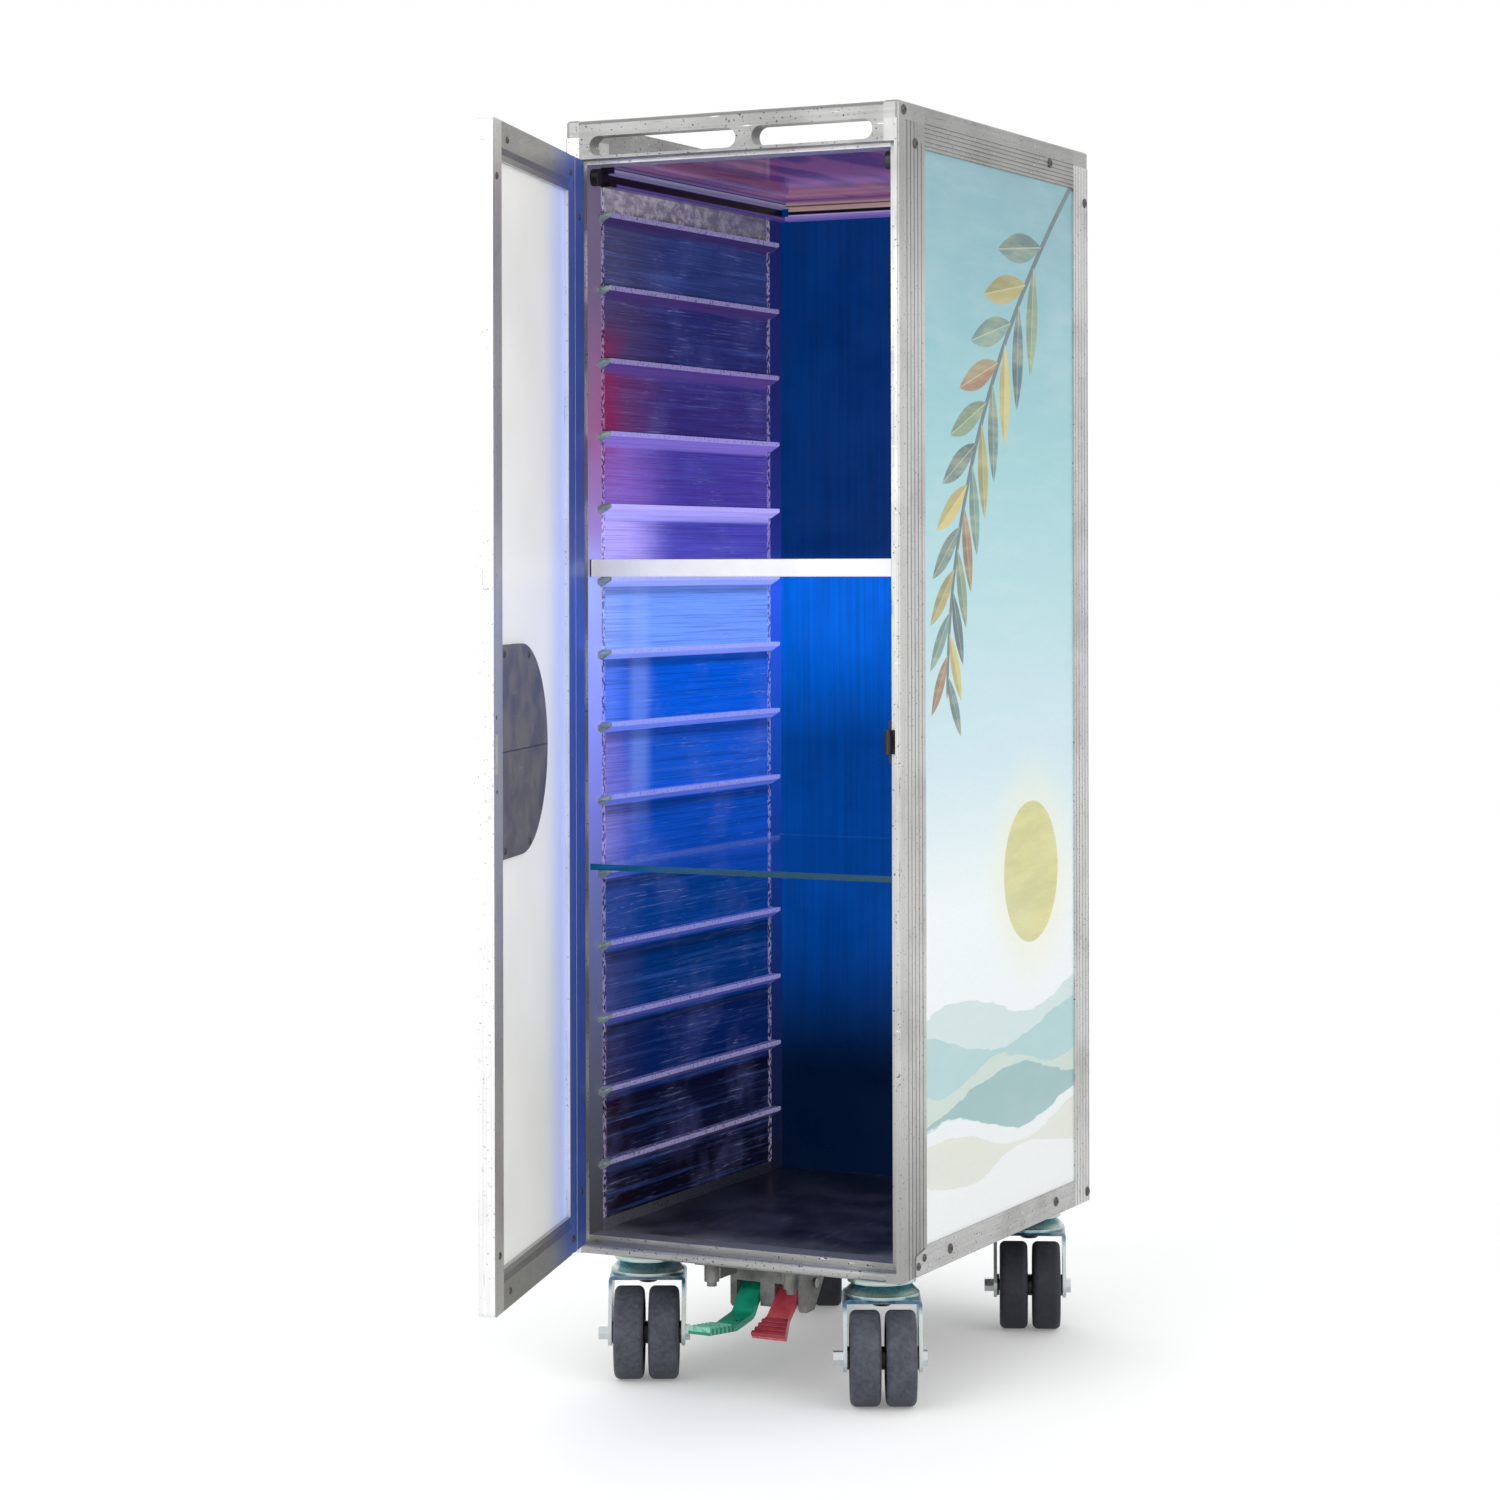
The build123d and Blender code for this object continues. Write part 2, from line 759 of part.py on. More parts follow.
def latch_outline(inset, mode=Mode.ADD):
    """Draws the half-round outline of the latch on a sketch of the door's face."""
    with Locations((latch_s, latch_level)):
        Circle(latch_radius - inset, mode=mode)
    edge = latch_s + latch_centre_setback - inset
    patch((latch_s, edge), (latch_level - latch_radius + inset, latch_level + latch_radius - inset), mode)


def trim_outline(inset):
    """Cuts the disc off in line with the straight side of the outline."""
    edge = latch_s + latch_centre_setback - inset
    patch(
        (edge, edge + latch_radius),
        (latch_level - latch_radius, latch_level + latch_radius),
        Mode.SUBTRACT,
    )


cup_inset = latch_radius - cup_radius
glass_near = groove_near + (glazing_groove - glazing_thickness) / 2
glass_far = glass_near + glazing_thickness

# Frosted glazing in the grooves of the four members, cut out round the latch cup.
with BuildPart() as door_glazing:
    reach_in = glazing_groove_depth - glazing_edge_gap
    with BuildSketch(face_plane.offset(-glass_far)):
        patch(
            (stile_edge - reach_in, latch_edge + reach_in),
            (glazing_bottom - reach_in, glazing_top + reach_in),
        )
    extrude(amount=glazing_thickness)
    with BuildSketch(face_plane.offset(-glass_far)):
        latch_outline(cup_inset - cup_clearance)
        trim_outline(cup_inset - cup_clearance)
    extrude(amount=glazing_thickness, mode=Mode.SUBTRACT)
save(door_glazing.part, "door_glazing")

# Latch cup: flange on the glazing's outer face, rim, sunk floor and the spindle's bearing hole.
cup_floor_near = glass_near + cup_floor_depth
cup_floor_far = cup_floor_near + cup_floor_thickness
cup_rim = glass_near - cup_rim_height
with BuildPart() as latch_cup:
    with BuildSketch(face_plane.offset(-cup_floor_far)):
        latch_outline(cup_inset)
        trim_outline(cup_inset)
    extrude(amount=cup_floor_far - cup_rim)
    with BuildSketch(face_plane.offset(-glass_near)):
        latch_outline(0)
        trim_outline(0)
    extrude(amount=cup_wall)
    with BuildSketch(face_plane.offset(-cup_floor_near)):
        latch_outline(cup_inset + cup_wall)
        trim_outline(cup_inset + cup_wall)
    extrude(amount=door_thickness, mode=Mode.SUBTRACT)
    with BuildSketch(face_plane.offset(-cup_floor_far)):
        with Locations((latch_s, latch_level)):
            Circle(spindle_radius + spindle_clearance)
    extrude(amount=door_thickness, mode=Mode.SUBTRACT)
save(latch_cup.part, "latch_cup")

# Latch cover on the inner side: a shallow tray, with a slot for the bolt in its straight side.
with BuildPart() as latch_cover:
    with BuildSketch(face_plane.offset(-cover_far)):
        latch_outline(0)
        trim_outline(0)
    extrude(amount=cover_far - glass_far)
    with BuildSketch(face_plane.offset(-cover_face)):
        latch_outline(cup_wall)
        trim_outline(cup_wall)
    extrude(amount=cover_face - glass_far, mode=Mode.SUBTRACT)
    with BuildSketch(door_plane.offset(latch_level - bolt_way / 2)):
        patch(
            (latch_s + latch_centre_setback - overrun, latch_edge),
            (bolt_near - bolt_clearance, bolt_far + bolt_clearance),
        )
    extrude(amount=bolt_way, mode=Mode.SUBTRACT)
save(latch_cover.part, "latch_cover")

# Latch lever with its spindle and cam in one piece, pointing to the hinge when the bolt is back.
lever_near = cup_floor_near - lever_gap - lever_thickness
cam_near = cup_floor_far + cam_gap
with BuildPart() as latch_lever:
    with BuildSketch(face_plane.offset(-(lever_near + lever_thickness))):
        with Locations((latch_s, latch_level)):
            Circle(lever_hub_radius)
        with Locations((latch_s - lever_length, latch_level)):
            Circle(lever_tip_radius)
        make_hull()
    extrude(amount=lever_thickness)
    chamfer(latch_lever.faces().sort_by(Axis(door_plane.origin, inward))[0].edges(), length=lever_gap / 2)
    with BuildSketch(face_plane.offset(-(cam_near + cam_thickness))):
        with Locations((latch_s, latch_level)):
            Circle(cam_radius)
    extrude(amount=cam_thickness)
    with BuildSketch(face_plane.offset(-cam_near)):
        with Locations((latch_s, latch_level)):
            Circle(spindle_radius)
    extrude(amount=cam_near - lever_near - lever_thickness)
save(latch_lever.part, "latch_lever")

# Latch bolt, drawn back clear of the striker's pocket.
bolt_start = latch_s + cam_radius + bolt_tip_gap
with BuildPart() as latch_bolt:
    with BuildSketch(door_plane.offset(latch_level - bolt_height / 2)):
        patch((bolt_start, pocket_start - bolt_tip_gap), (bolt_near, bolt_far))
    extrude(amount=bolt_height)
save(latch_bolt.part, "latch_bolt")

# Striker: a rounded nose with an eye for the bolt, on a plate inside the post.
striker_end = pocket_end + pivot_x - striker_pocket_gap
striker_start = striker_end - striker_width
nose_front = front + rebate_depth - striker_nose
hinge_to_front = front - hinge_setback
with BuildPart() as striker:
    with BuildSketch(Plane.XY.offset(latch_level - striker_height / 2)) as section:
        patch((striker_start, striker_end), (nose_front, front + rebate_depth))
        fillet(section.vertices().group_by(Axis.Y)[0], radius=striker_nose_radius)
    extrude(amount=striker_height)
    with BuildSketch(Plane.XY.offset(latch_level - striker_plate_height / 2)):
        patch(
            (inner_right - striker_plate_thickness, inner_right),
            (front + rebate_depth, front + rebate_depth + striker_plate_length),
        )
    extrude(amount=striker_plate_height)
    eye_height = bolt_height + 2 * eye_margin
    with BuildSketch(Plane.XY.offset(latch_level - eye_height / 2)):
        patch(
            (striker_start - overrun, striker_end + overrun),
            (hinge_to_front + bolt_near - eye_margin, hinge_to_front + bolt_far + eye_margin),
        )
    extrude(amount=eye_height, mode=Mode.SUBTRACT)
save(striker.part, "striker")

# Continuous hinge: knuckles of the two leaves take turns along one pin.
hinge_bottom = door_bottom + leaf_end_gap
hinge_top = door_top - leaf_end_gap
knuckle_pitch = (hinge_top - hinge_bottom) / knuckle_count
post_plane = Plane(origin=door_plane.origin, x_dir=(1, 0, 0), z_dir=(0, 0, 1))
leaf_front = hinge_setback + leaf_gap


def hinge_leaf(base, leaf_near, first, web, name):
    """Builds a leaf strip with a ring and a web at every second knuckle."""
    with BuildPart() as leaf:
        with BuildSketch(base.offset(hinge_bottom)):
            patch((leaf_near, leaf_near + leaf_thickness), (leaf_front, leaf_front + leaf_width))
        extrude(amount=hinge_top - hinge_bottom)
        for k in range(first, knuckle_count, 2):
            with BuildSketch(base.offset(hinge_bottom + k * knuckle_pitch + knuckle_gap / 2)):
                Circle(barrel_radius)
                for across, up in web:
                    patch(across, up)
                Circle(pin_radius + pin_clearance, mode=Mode.SUBTRACT)
            extrude(amount=knuckle_pitch - knuckle_gap)
    save(leaf.part, name)


post_leaf_near = barrel_radius - leaf_thickness
hinge_leaf(
    post_plane,
    post_leaf_near,
    0,
    [((post_leaf_near, barrel_radius), (0, leaf_front))],
    "hinge_leaf_post",
)
door_leaf_near = door_start - leaf_thickness
hinge_leaf(
    door_plane,
    door_leaf_near,
    1,
    [
        ((pin_radius + knuckle_gap, door_start), (knuckle_web_near, knuckle_web_far)),
        ((door_leaf_near, door_start), (knuckle_web_near, leaf_front)),
    ],
    "hinge_leaf_door",
)

with BuildPart() as hinge_pin:
    with BuildSketch(post_plane.offset(hinge_bottom)):
        Circle(pin_radius)
    extrude(amount=hinge_top - hinge_bottom)
save(hinge_pin.part, "hinge_pin")

# Casters are drawn once, about the swivel, with the trail along x, and set at the four corners.
plate_bottom = ground_clearance - plate_thickness
disc_top = plate_bottom
crown_under = fork_crown_top - fork_plate
race_top = fork_crown_top + race_height
fork_half = fork_inside / 2 + fork_plate
casters = {
    "front_left": (middle - swivel_x, front + front_swivel_inset, front_trail_angle),
    "front_right": (middle + swivel_x, front + front_swivel_inset, front_trail_angle),
    "rear_left": (middle - swivel_x, rear - rear_swivel_inset, rear_left_trail_angle),
    "rear_right": (middle + swivel_x, rear - rear_swivel_inset, rear_trail_angle),
}


def caster_plane(corner):
    """The plane at a swivel's foot whose x runs along the trail."""
    x, y, angle = casters[corner]
    turn = radians(angle)
    return Plane(origin=(x, y, 0), x_dir=(sin(turn), -cos(turn), 0), z_dir=(0, 0, 1))


# Fixed plate with the upper race, standing square to the cabinet.
with BuildPart() as plate_form:
    with BuildSketch(Plane.XY.offset(plate_bottom)):
        RectangleRounded(plate_width, plate_length, plate_radius)
    extrude(amount=plate_thickness)
    with BuildSketch(Plane.XZ):
        with BuildLine():
            Polyline(
                (0, race_top + race_gap),
                (ball_ring_radius, race_top + race_gap),
                (ball_ring_radius, race_top + race_gap + ball_ring_height),
                (disc_radius, race_top + race_gap + ball_ring_height),
                (disc_radius, disc_top - disc_shoulder),
                (disc_radius - disc_shoulder, disc_top),
                (0, disc_top),
                close=True,
            )
        make_face()
    revolve(axis=Axis.Z)
    with BuildSketch(Plane.XY.offset(race_top)):
        Circle(kingpin_radius + kingpin_clearance)
    extrude(amount=disc_top - race_top, mode=Mode.SUBTRACT)

with BuildPart() as caster_plates:
    with Locations(*[(x, y, 0) for x, y, angle in casters.values()]):
        add(plate_form.part)
save(caster_plates.part, "caster_plates")

# Kingpins, each with a rounded head under the fork's crown.
head_top = crown_under - race_gap
with BuildPart() as kingpin_form:
    with BuildSketch(Plane.XZ):
        with BuildLine():
            Polyline(
                (0, head_top - kingpin_head_height),
                (kingpin_tip_radius, head_top - kingpin_head_height),
                (kingpin_tip_radius + kingpin_edge, head_top - kingpin_head_height + kingpin_edge),
                (kingpin_head_radius, head_top),
                (kingpin_radius, head_top),
                (kingpin_radius, disc_top),
                (0, disc_top),
                close=True,
            )
        make_face()
    revolve(axis=Axis.Z)

with BuildPart() as kingpins:
    with Locations(*[(x, y, 0) for x, y, angle in casters.values()]):
        add(kingpin_form.part)
save(kingpins.part, "kingpins")

# Fork: a bent plate whose legs taper down to the axle, with the lower race on its crown.
with BuildPart() as fork_form:
    with BuildSketch(Plane.YZ) as bend:
        patch((-fork_half, fork_half), (wheel_radius - fork_boss_radius, fork_crown_top))
        fillet(bend.vertices().group_by(Axis.Y)[-1], radius=fork_bend_radius)
        patch((-fork_inside / 2, fork_inside / 2), (0, crown_under), Mode.SUBTRACT)
    extrude(amount=trail + fork_boss_radius, both=True)
    with BuildSketch(Plane.XZ):
        patch((-fork_crown_front, fork_crown_rear), (fork_crown_top - fork_crown_side, fork_crown_top))
        with Locations((trail, wheel_radius)):
            Circle(fork_boss_radius)
        make_hull()
    extrude(amount=fork_half, both=True, mode=Mode.INTERSECT)
    with BuildSketch(Plane.XZ):
        with BuildLine():
            Polyline(
                (0, fork_crown_top),
                (race_radius, fork_crown_top),
                (race_radius, fork_crown_top + race_rim),
                (race_neck_radius, race_top),
                (0, race_top),
                close=True,
            )
        make_face()
    revolve(axis=Axis.Z)
    with BuildSketch(Plane.XY.offset(crown_under)):
        Circle(kingpin_radius + kingpin_clearance)
    extrude(amount=race_top - crown_under, mode=Mode.SUBTRACT)
    with BuildSketch(Plane.XZ):
        with Locations((trail, wheel_radius)):
            Circle(axle_radius + axle_clearance)
    extrude(amount=fork_half, both=True, mode=Mode.SUBTRACT)

# Axle: a bolt with a hex head and a nut, and three spacers that keep the wheels apart.
with BuildPart() as axle_form:
    with BuildSketch(Plane.XZ):
        with Locations((trail, wheel_radius)):
            Circle(axle_radius)
    extrude(amount=fork_half, both=True)
    wheel_outer = wheel_gap / 2 + wheel_width
    spacers = (
        (-fork_inside / 2, -wheel_outer - spacer_clearance),
        (spacer_clearance - wheel_gap / 2, wheel_gap / 2 - spacer_clearance),
        (wheel_outer + spacer_clearance, fork_inside / 2),
    )
    for near, far in spacers:
        with BuildSketch(Plane.XZ.offset(near)):
            with Locations((trail, wheel_radius)):
                Circle(spacer_radius)
        extrude(amount=far - near)
    with BuildSketch(Plane.XZ.offset(fork_half)):
        with Locations((trail, wheel_radius)):
            RegularPolygon(bolt_head_size / 2, 6)
    extrude(amount=bolt_head_height)
    with BuildSketch(Plane.XZ.offset(-fork_half)):
        with Locations((trail, wheel_radius)):
            RegularPolygon(nut_size / 2, 6)
    extrude(amount=-nut_height)

# Wheel: a charcoal tyre with rounded shoulders on a dished disc and a hub.
half_tyre = wheel_width / 2
with BuildPart() as wheel_form:
    with BuildSketch(Plane.XY) as wheel_section:
        with BuildLine():
            Polyline(
                (axle_radius + axle_clearance, -half_tyre),
                (hub_radius, -half_tyre),
                (hub_radius + recess_slope, disc_recess - half_tyre),
                (tyre_inner_radius - recess_slope, disc_recess - half_tyre),
                (tyre_inner_radius, -half_tyre),
                (wheel_radius, -half_tyre),
                (wheel_radius, half_tyre),
                (tyre_inner_radius, half_tyre),
                (tyre_inner_radius - recess_slope, half_tyre - disc_recess),
                (hub_radius + recess_slope, half_tyre - disc_recess),
                (hub_radius, half_tyre),
                (axle_radius + axle_clearance, half_tyre),
                close=True,
            )
        make_face()
        fillet(wheel_section.vertices().group_by(Axis.X)[-1], radius=shoulder_radius)
    revolve(axis=Axis.Y)

for corner in casters:
    place = caster_plane(corner)
    with BuildPart(place) as fork:
        add(fork_form.part)
    save(fork.part, f"fork_{corner}")
    with BuildPart(place) as axle:
        add(axle_form.part)
    save(axle.part, f"axle_{corner}")
    for hand, side in (("left", -1), ("right", 1)):
        offset_y = side * (wheel_gap + wheel_width) / 2
        with BuildPart(place) as wheel:
            with Locations((trail, offset_y, wheel_radius)):
                add(wheel_form.part)
        save(wheel.part, f"wheel_{corner}_{hand}")

# Brake housing: a cast plate with front bosses, two cheeks, a front lip and a centre web.
housing_under = ground_clearance - housing_plate
shaft_y = front + shaft_depth
with BuildPart() as brake_housing:
    with BuildSketch(Plane.XY.offset(housing_under)):
        across = mirrored(1, -housing_width / 2, housing_width / 2)
        patch(across, (front + housing_front, front + housing_rear))
    extrude(amount=housing_plate)
    bosses = [(x, front + boss_depth) for x in mirrored(1, -boss_offset, boss_offset)]
    with BuildSketch(Plane.XY.offset(housing_under - boss_height)):
        with Locations(*bosses):
            Circle(boss_radius)
    extrude(amount=boss_height)
    with BuildSketch(Plane.XY.offset(housing_under - boss_height - boss_tip_height)):
        with Locations(*bosses):
            Circle(boss_tip_radius)
    extrude(amount=boss_tip_height)
    cheek_bottom = housing_under - cheek_height
    lip_back = front + cheek_front + lip_thickness
    for near in (-cheek_inside - cheek_thickness, cheek_inside):
        with BuildSketch(Plane.YZ.offset(middle + near)):
            with BuildLine():
                Polyline(
                    (front + boss_depth, housing_under),
                    (front + boss_depth, housing_under - rib_height),
                    (front + cheek_front, housing_under - rib_height),
                    (front + cheek_front, cheek_bottom + cheek_corner),
                    (front + cheek_front + cheek_corner, cheek_bottom),
                    (front + cheek_heel, cheek_bottom),
                    (front + cheek_rear, housing_under),
                    close=True,
                )
            make_face()
        extrude(amount=cheek_thickness)
    with BuildSketch(Plane.XY.offset(housing_under - lip_height)):
        patch(mirrored(1, -cheek_inside, cheek_inside), (front + cheek_front, lip_back))
    extrude(amount=lip_height)
    with BuildSketch(Plane.XY.offset(housing_under - web_height)):
        patch(mirrored(1, -web_thickness / 2, web_thickness / 2), (front + cheek_front, front + web_rear))
    extrude(amount=web_height)
    with BuildSketch(Plane.YZ.offset(middle)):
        with Locations((shaft_y, shaft_height)):
            Circle(shaft_radius + shaft_clearance)
    extrude(amount=housing_width, both=True, mode=Mode.SUBTRACT)
save(brake_housing.part, "brake_housing")

with BuildPart() as brake_shaft:
    with BuildSketch(Plane.YZ.offset(middle)):
        with Locations((shaft_y, shaft_height)):
            Circle(shaft_radius)
    extrude(amount=cheek_inside + cheek_thickness + shaft_proud, both=True)
save(brake_shaft.part, "brake_shaft")


# Pedals: a hub on the shaft, a bent arm and a ribbed pad.
def pedal(middle, route, pad_width, ribs, rib_pitch, name):
    path = [(front + y, z) for y, z in route]
    tip = path[-1]
    knee = path[-2]
    pad_length = ((tip[0] - knee[0]) ** 2 + (tip[1] - knee[1]) ** 2) ** 0.5
    down = ((tip[0] - knee[0]) / pad_length, (tip[1] - knee[1]) / pad_length)
    with BuildPart() as lever:
        with BuildSketch(Plane.YZ.offset(middle)):
            with BuildLine() as spine:
                FilletPolyline(*path, radius=route_bend)
            trace(line_width=pedal_thickness)
            with Locations((shaft_y, shaft_height)):
                Circle(pedal_hub_radius)
        extrude(amount=pedal_arm_width / 2, both=True)
        pad = Plane(origin=(middle, tip[0], tip[1]), x_dir=(1, 0, 0), z_dir=(0, down[1], -down[0]))
        if pad_width > pedal_arm_width:
            with BuildSketch(pad.offset(-pedal_thickness / 2)):
                with BuildLine():
                    Polyline(
                        (-pad_width / 2, 0),
                        (pad_width / 2, 0),
                        (pedal_arm_width / 2, pad_length),
                        (-pedal_arm_width / 2, pad_length),
                        close=True,
                    )
                make_face()
            extrude(amount=pedal_thickness)
        for k in range(ribs):
            centre = pedal_rib_width / 2 + k * rib_pitch
            width = pedal_arm_width + (pad_width - pedal_arm_width) * (1 - centre / pad_length)
            with BuildSketch(pad.offset(pedal_thickness / 2)):
                with Locations((0, centre)):
                    Rectangle(width, pedal_rib_width)
            extrude(amount=pedal_rib_height)
        with BuildSketch(Plane.YZ.offset(middle)):
            with Locations((shaft_y, shaft_height)):
                Circle(shaft_radius + shaft_clearance)
        extrude(amount=pedal_arm_width, both=True, mode=Mode.SUBTRACT)
    save(lever.part, name)


pedal_offset = (web_thickness / 2 + cheek_inside) / 2
pedal(middle - pedal_offset, green_route, pedal_arm_width, green_rib_count, green_rib_pitch, "pedal_green")
pedal(middle + pedal_offset, red_route, red_pad_width, red_rib_count, red_rib_pitch, "pedal_red")

print("middle plane at x", round(middle, 3), "front face at y", round(front, 3))
print("hinge pin at x", round(pivot_x, 3), "y", round(front - hinge_setback, 3))
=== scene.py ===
import math

import bmesh
import bpy
from mathutils import Matrix, Vector


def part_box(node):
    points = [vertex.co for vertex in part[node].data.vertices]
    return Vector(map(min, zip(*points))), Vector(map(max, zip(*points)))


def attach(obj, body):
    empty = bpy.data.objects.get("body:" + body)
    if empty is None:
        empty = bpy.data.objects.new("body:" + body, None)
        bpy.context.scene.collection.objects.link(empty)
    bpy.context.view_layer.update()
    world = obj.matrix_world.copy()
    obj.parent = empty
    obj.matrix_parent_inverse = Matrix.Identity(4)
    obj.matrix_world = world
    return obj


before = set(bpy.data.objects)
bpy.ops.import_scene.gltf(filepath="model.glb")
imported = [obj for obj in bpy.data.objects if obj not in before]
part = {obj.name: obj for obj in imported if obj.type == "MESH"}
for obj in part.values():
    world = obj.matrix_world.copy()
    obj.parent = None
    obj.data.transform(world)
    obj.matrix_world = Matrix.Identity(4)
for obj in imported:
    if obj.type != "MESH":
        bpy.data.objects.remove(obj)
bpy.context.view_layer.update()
scene = bpy.context.scene


# Studio: a white room with a pale floor. The camera stands to the right of the open front,
# a little above the middle of the trolley, and its frame is shifted a little down and left.
def wire(tree, kind, settings=None, plugs=None):
    """Adds a node: settings are its own choices, plugs the values or sockets that feed it."""
    made = tree.nodes.new(kind)
    for key, value in (settings or {}).items():
        setattr(made, key, value)
    for key, value in (plugs or {}).items():
        if isinstance(value, bpy.types.NodeSocket):
            tree.links.new(value, made.inputs[key])
        else:
            made.inputs[key].default_value = value
    return made


def sum_up(tree, operation, first, second=0.0, third=0.0):
    """One sum of up to three numbers or sockets."""
    plugs = {0: first, 1: second, 2: third}
    return wire(tree, "ShaderNodeMath", {"operation": operation}, plugs).outputs[0]


def product(tree, *factors):
    """Multiplies numbers or sockets with each other."""
    whole = factors[0]
    for factor in factors[1:]:
        whole = sum_up(tree, "MULTIPLY", whole, factor)
    return whole


def looked_at(tree):
    """One for a ray from the camera, a mirror or a pane, and nought for a ray that only carries light."""
    rays = wire(tree, "ShaderNodeLightPath").outputs
    seen = sum_up(tree, "MAXIMUM", rays["Is Camera Ray"], rays["Is Glossy Ray"])
    return sum_up(tree, "MAXIMUM", seen, rays["Is Transmission Ray"])


white_room = bpy.data.worlds.new("white_room")
white_room.use_nodes = True
scene.world = white_room
room = white_room.node_tree
room.nodes.clear()
level = sum_up(room, "MULTIPLY_ADD", looked_at(room), 0.25, 0.75)
sky = wire(room, "ShaderNodeBackground", None, {"Color": (1, 1, 1, 1), "Strength": level})
wire(room, "ShaderNodeOutputWorld", None, {"Surface": sky.outputs[0]})

floor_mesh = bpy.data.meshes.new("studio_floor")
floor_mesh.from_pydata([(-7, -7, 0), (7, -7, 0), (7, 7, 0), (-7, 7, 0)], [], [(0, 1, 2, 3)])
studio_floor = bpy.data.objects.new("studio_floor", floor_mesh)
scene.collection.objects.link(studio_floor)
floor_paint = bpy.data.materials.new("floor_paint")
floor_paint.use_nodes = True
tree = floor_paint.node_tree
tree.nodes.clear()
pale = wire(tree, "ShaderNodeBsdfDiffuse", None, {"Color": (0.86, 0.86, 0.86, 1)})
glow = product(tree, looked_at(tree), 0.2)
lift = wire(tree, "ShaderNodeEmission", None, {"Color": (1, 1, 1, 1), "Strength": glow})
both = wire(tree, "ShaderNodeAddShader", None, {0: pale.outputs[0], 1: lift.outputs[0]})
place = wire(tree, "ShaderNodeTexCoord").outputs["Object"]
away = wire(tree, "ShaderNodeVectorMath", {"operation": "LENGTH"}, {0: place}).outputs["Value"]
fade = wire(tree, "ShaderNodeMapRange", {"interpolation_type": "SMOOTHSTEP"}, {0: away, 1: 0.55, 2: 1.9})
open_air = wire(tree, "ShaderNodeBsdfTransparent")
fades = {0: fade.outputs[0], 1: both.outputs[0], 2: open_air.outputs[0]}
ground = wire(tree, "ShaderNodeMixShader", None, fades)
wire(tree, "ShaderNodeOutputMaterial", None, {"Surface": ground.outputs[0]})
floor_mesh.materials.append(floor_paint)

lens = bpy.data.cameras.new("lens")
lens.lens = 83.13
lens.sensor_width = 36.0
lens.shift_x = -0.01667
lens.shift_y = -0.1233
lens.clip_end = 30.0
camera = bpy.data.objects.new("camera", lens)
scene.collection.objects.link(camera)
camera.location = (1.2664, -2.5260, 0.6661)
gaze = Vector((-0.4464, 0.8948, 0.0))
tilt = Matrix.Rotation(math.radians(-0.123), 4, "Z")
camera.rotation_euler = (gaze.to_track_quat("-Z", "Y").to_matrix().to_4x4() @ tilt).to_euler()
scene.camera = camera
scene.view_settings.view_transform = "Standard"

softboxes = (
    ("softbox_front", (-1.0, -3.2, 1.9), 2.6, 52.0),
    ("softbox_right", (3.2, -0.9, 1.7), 2.2, 30.0),
    ("softbox_rear", (-1.8, 2.6, 2.2), 2.2, 24.0),
)
for name, place, size, power in softboxes:
    lamp = bpy.data.lights.new(name, "AREA")
    lamp.size = size
    lamp.energy = power
    stand = bpy.data.objects.new(name, lamp)
    stand.location = place
    aim = Vector((0, 0, 0.55)) - Vector(place)
    stand.rotation_euler = aim.to_track_quat("-Z", "Y").to_euler()
    scene.collection.objects.link(stand)


# Frame: extruded aluminium posts, rails, gallery bars and beams, butted and screwed at the corners.
# The metal is years old: fine drawn lines run along each length, with stains, pits and scratches.
def ink(red, green, blue):
    """A colour read off a colour card, 0 to 255, as the linear colour that a shader takes."""
    linear = []
    for level in (red, green, blue):
        share = level / 255
        linear.append(share / 12.92 if share <= 0.04045 else ((share + 0.055) / 1.055) ** 2.4)
    return (*linear, 1.0)


def blend(tree, share, first, second, way="MIX"):
    """Mixes two colours, or colour sockets, by a share."""
    settings = {"data_type": "RGBA", "blend_type": way}
    return wire(tree, "ShaderNodeMix", settings, {0: share, 6: first, 7: second}).outputs[2]


def ease(tree, value, low, high, start=0.0, end=1.0):
    """Turns a value between low and high smoothly into one between start and end."""
    plugs = {"Value": value, "From Min": low, "From Max": high, "To Min": start, "To Max": end}
    return wire(tree, "ShaderNodeMapRange", {"interpolation_type": "SMOOTHSTEP"}, plugs).outputs[0]


def soft(tree, pattern, start=0.0, end=1.0):
    """Spreads the middle of a cloudy pattern over the values from start to end."""
    return ease(tree, pattern, 0.3, 0.7, start, end)


def axes(tree, vector):
    """The three parts of a place or a direction: across, in from the front, and up."""
    return wire(tree, "ShaderNodeSeparateXYZ", None, {0: vector}).outputs


def speckle(tree, place, scale, detail=3.0, turn=(0, 0, 0), rough=0.55):
    """A cloudy pattern on the piece's own coordinates, stretched by a scale for each direction."""
    turned = wire(tree, "ShaderNodeMapping", None, {"Vector": place, "Rotation": turn, "Scale": scale})
    plugs = {"Vector": turned.outputs[0], "Scale": 1.0, "Detail": detail, "Roughness": rough}
    return wire(tree, "ShaderNodeTexNoise", None, plugs).outputs["Fac"]


def start_finish(name, metallic, roughness):
    """A new material, its shader, its tree and the socket of its object coordinates."""
    made = bpy.data.materials.new(name)
    made.use_nodes = True
    tree = made.node_tree
    shader = tree.nodes["Principled BSDF"]
    shader.inputs["Metallic"].default_value = metallic
    shader.inputs["Roughness"].default_value = roughness
    place = wire(tree, "ShaderNodeTexCoord").outputs["Object"]
    return made, shader, tree, place


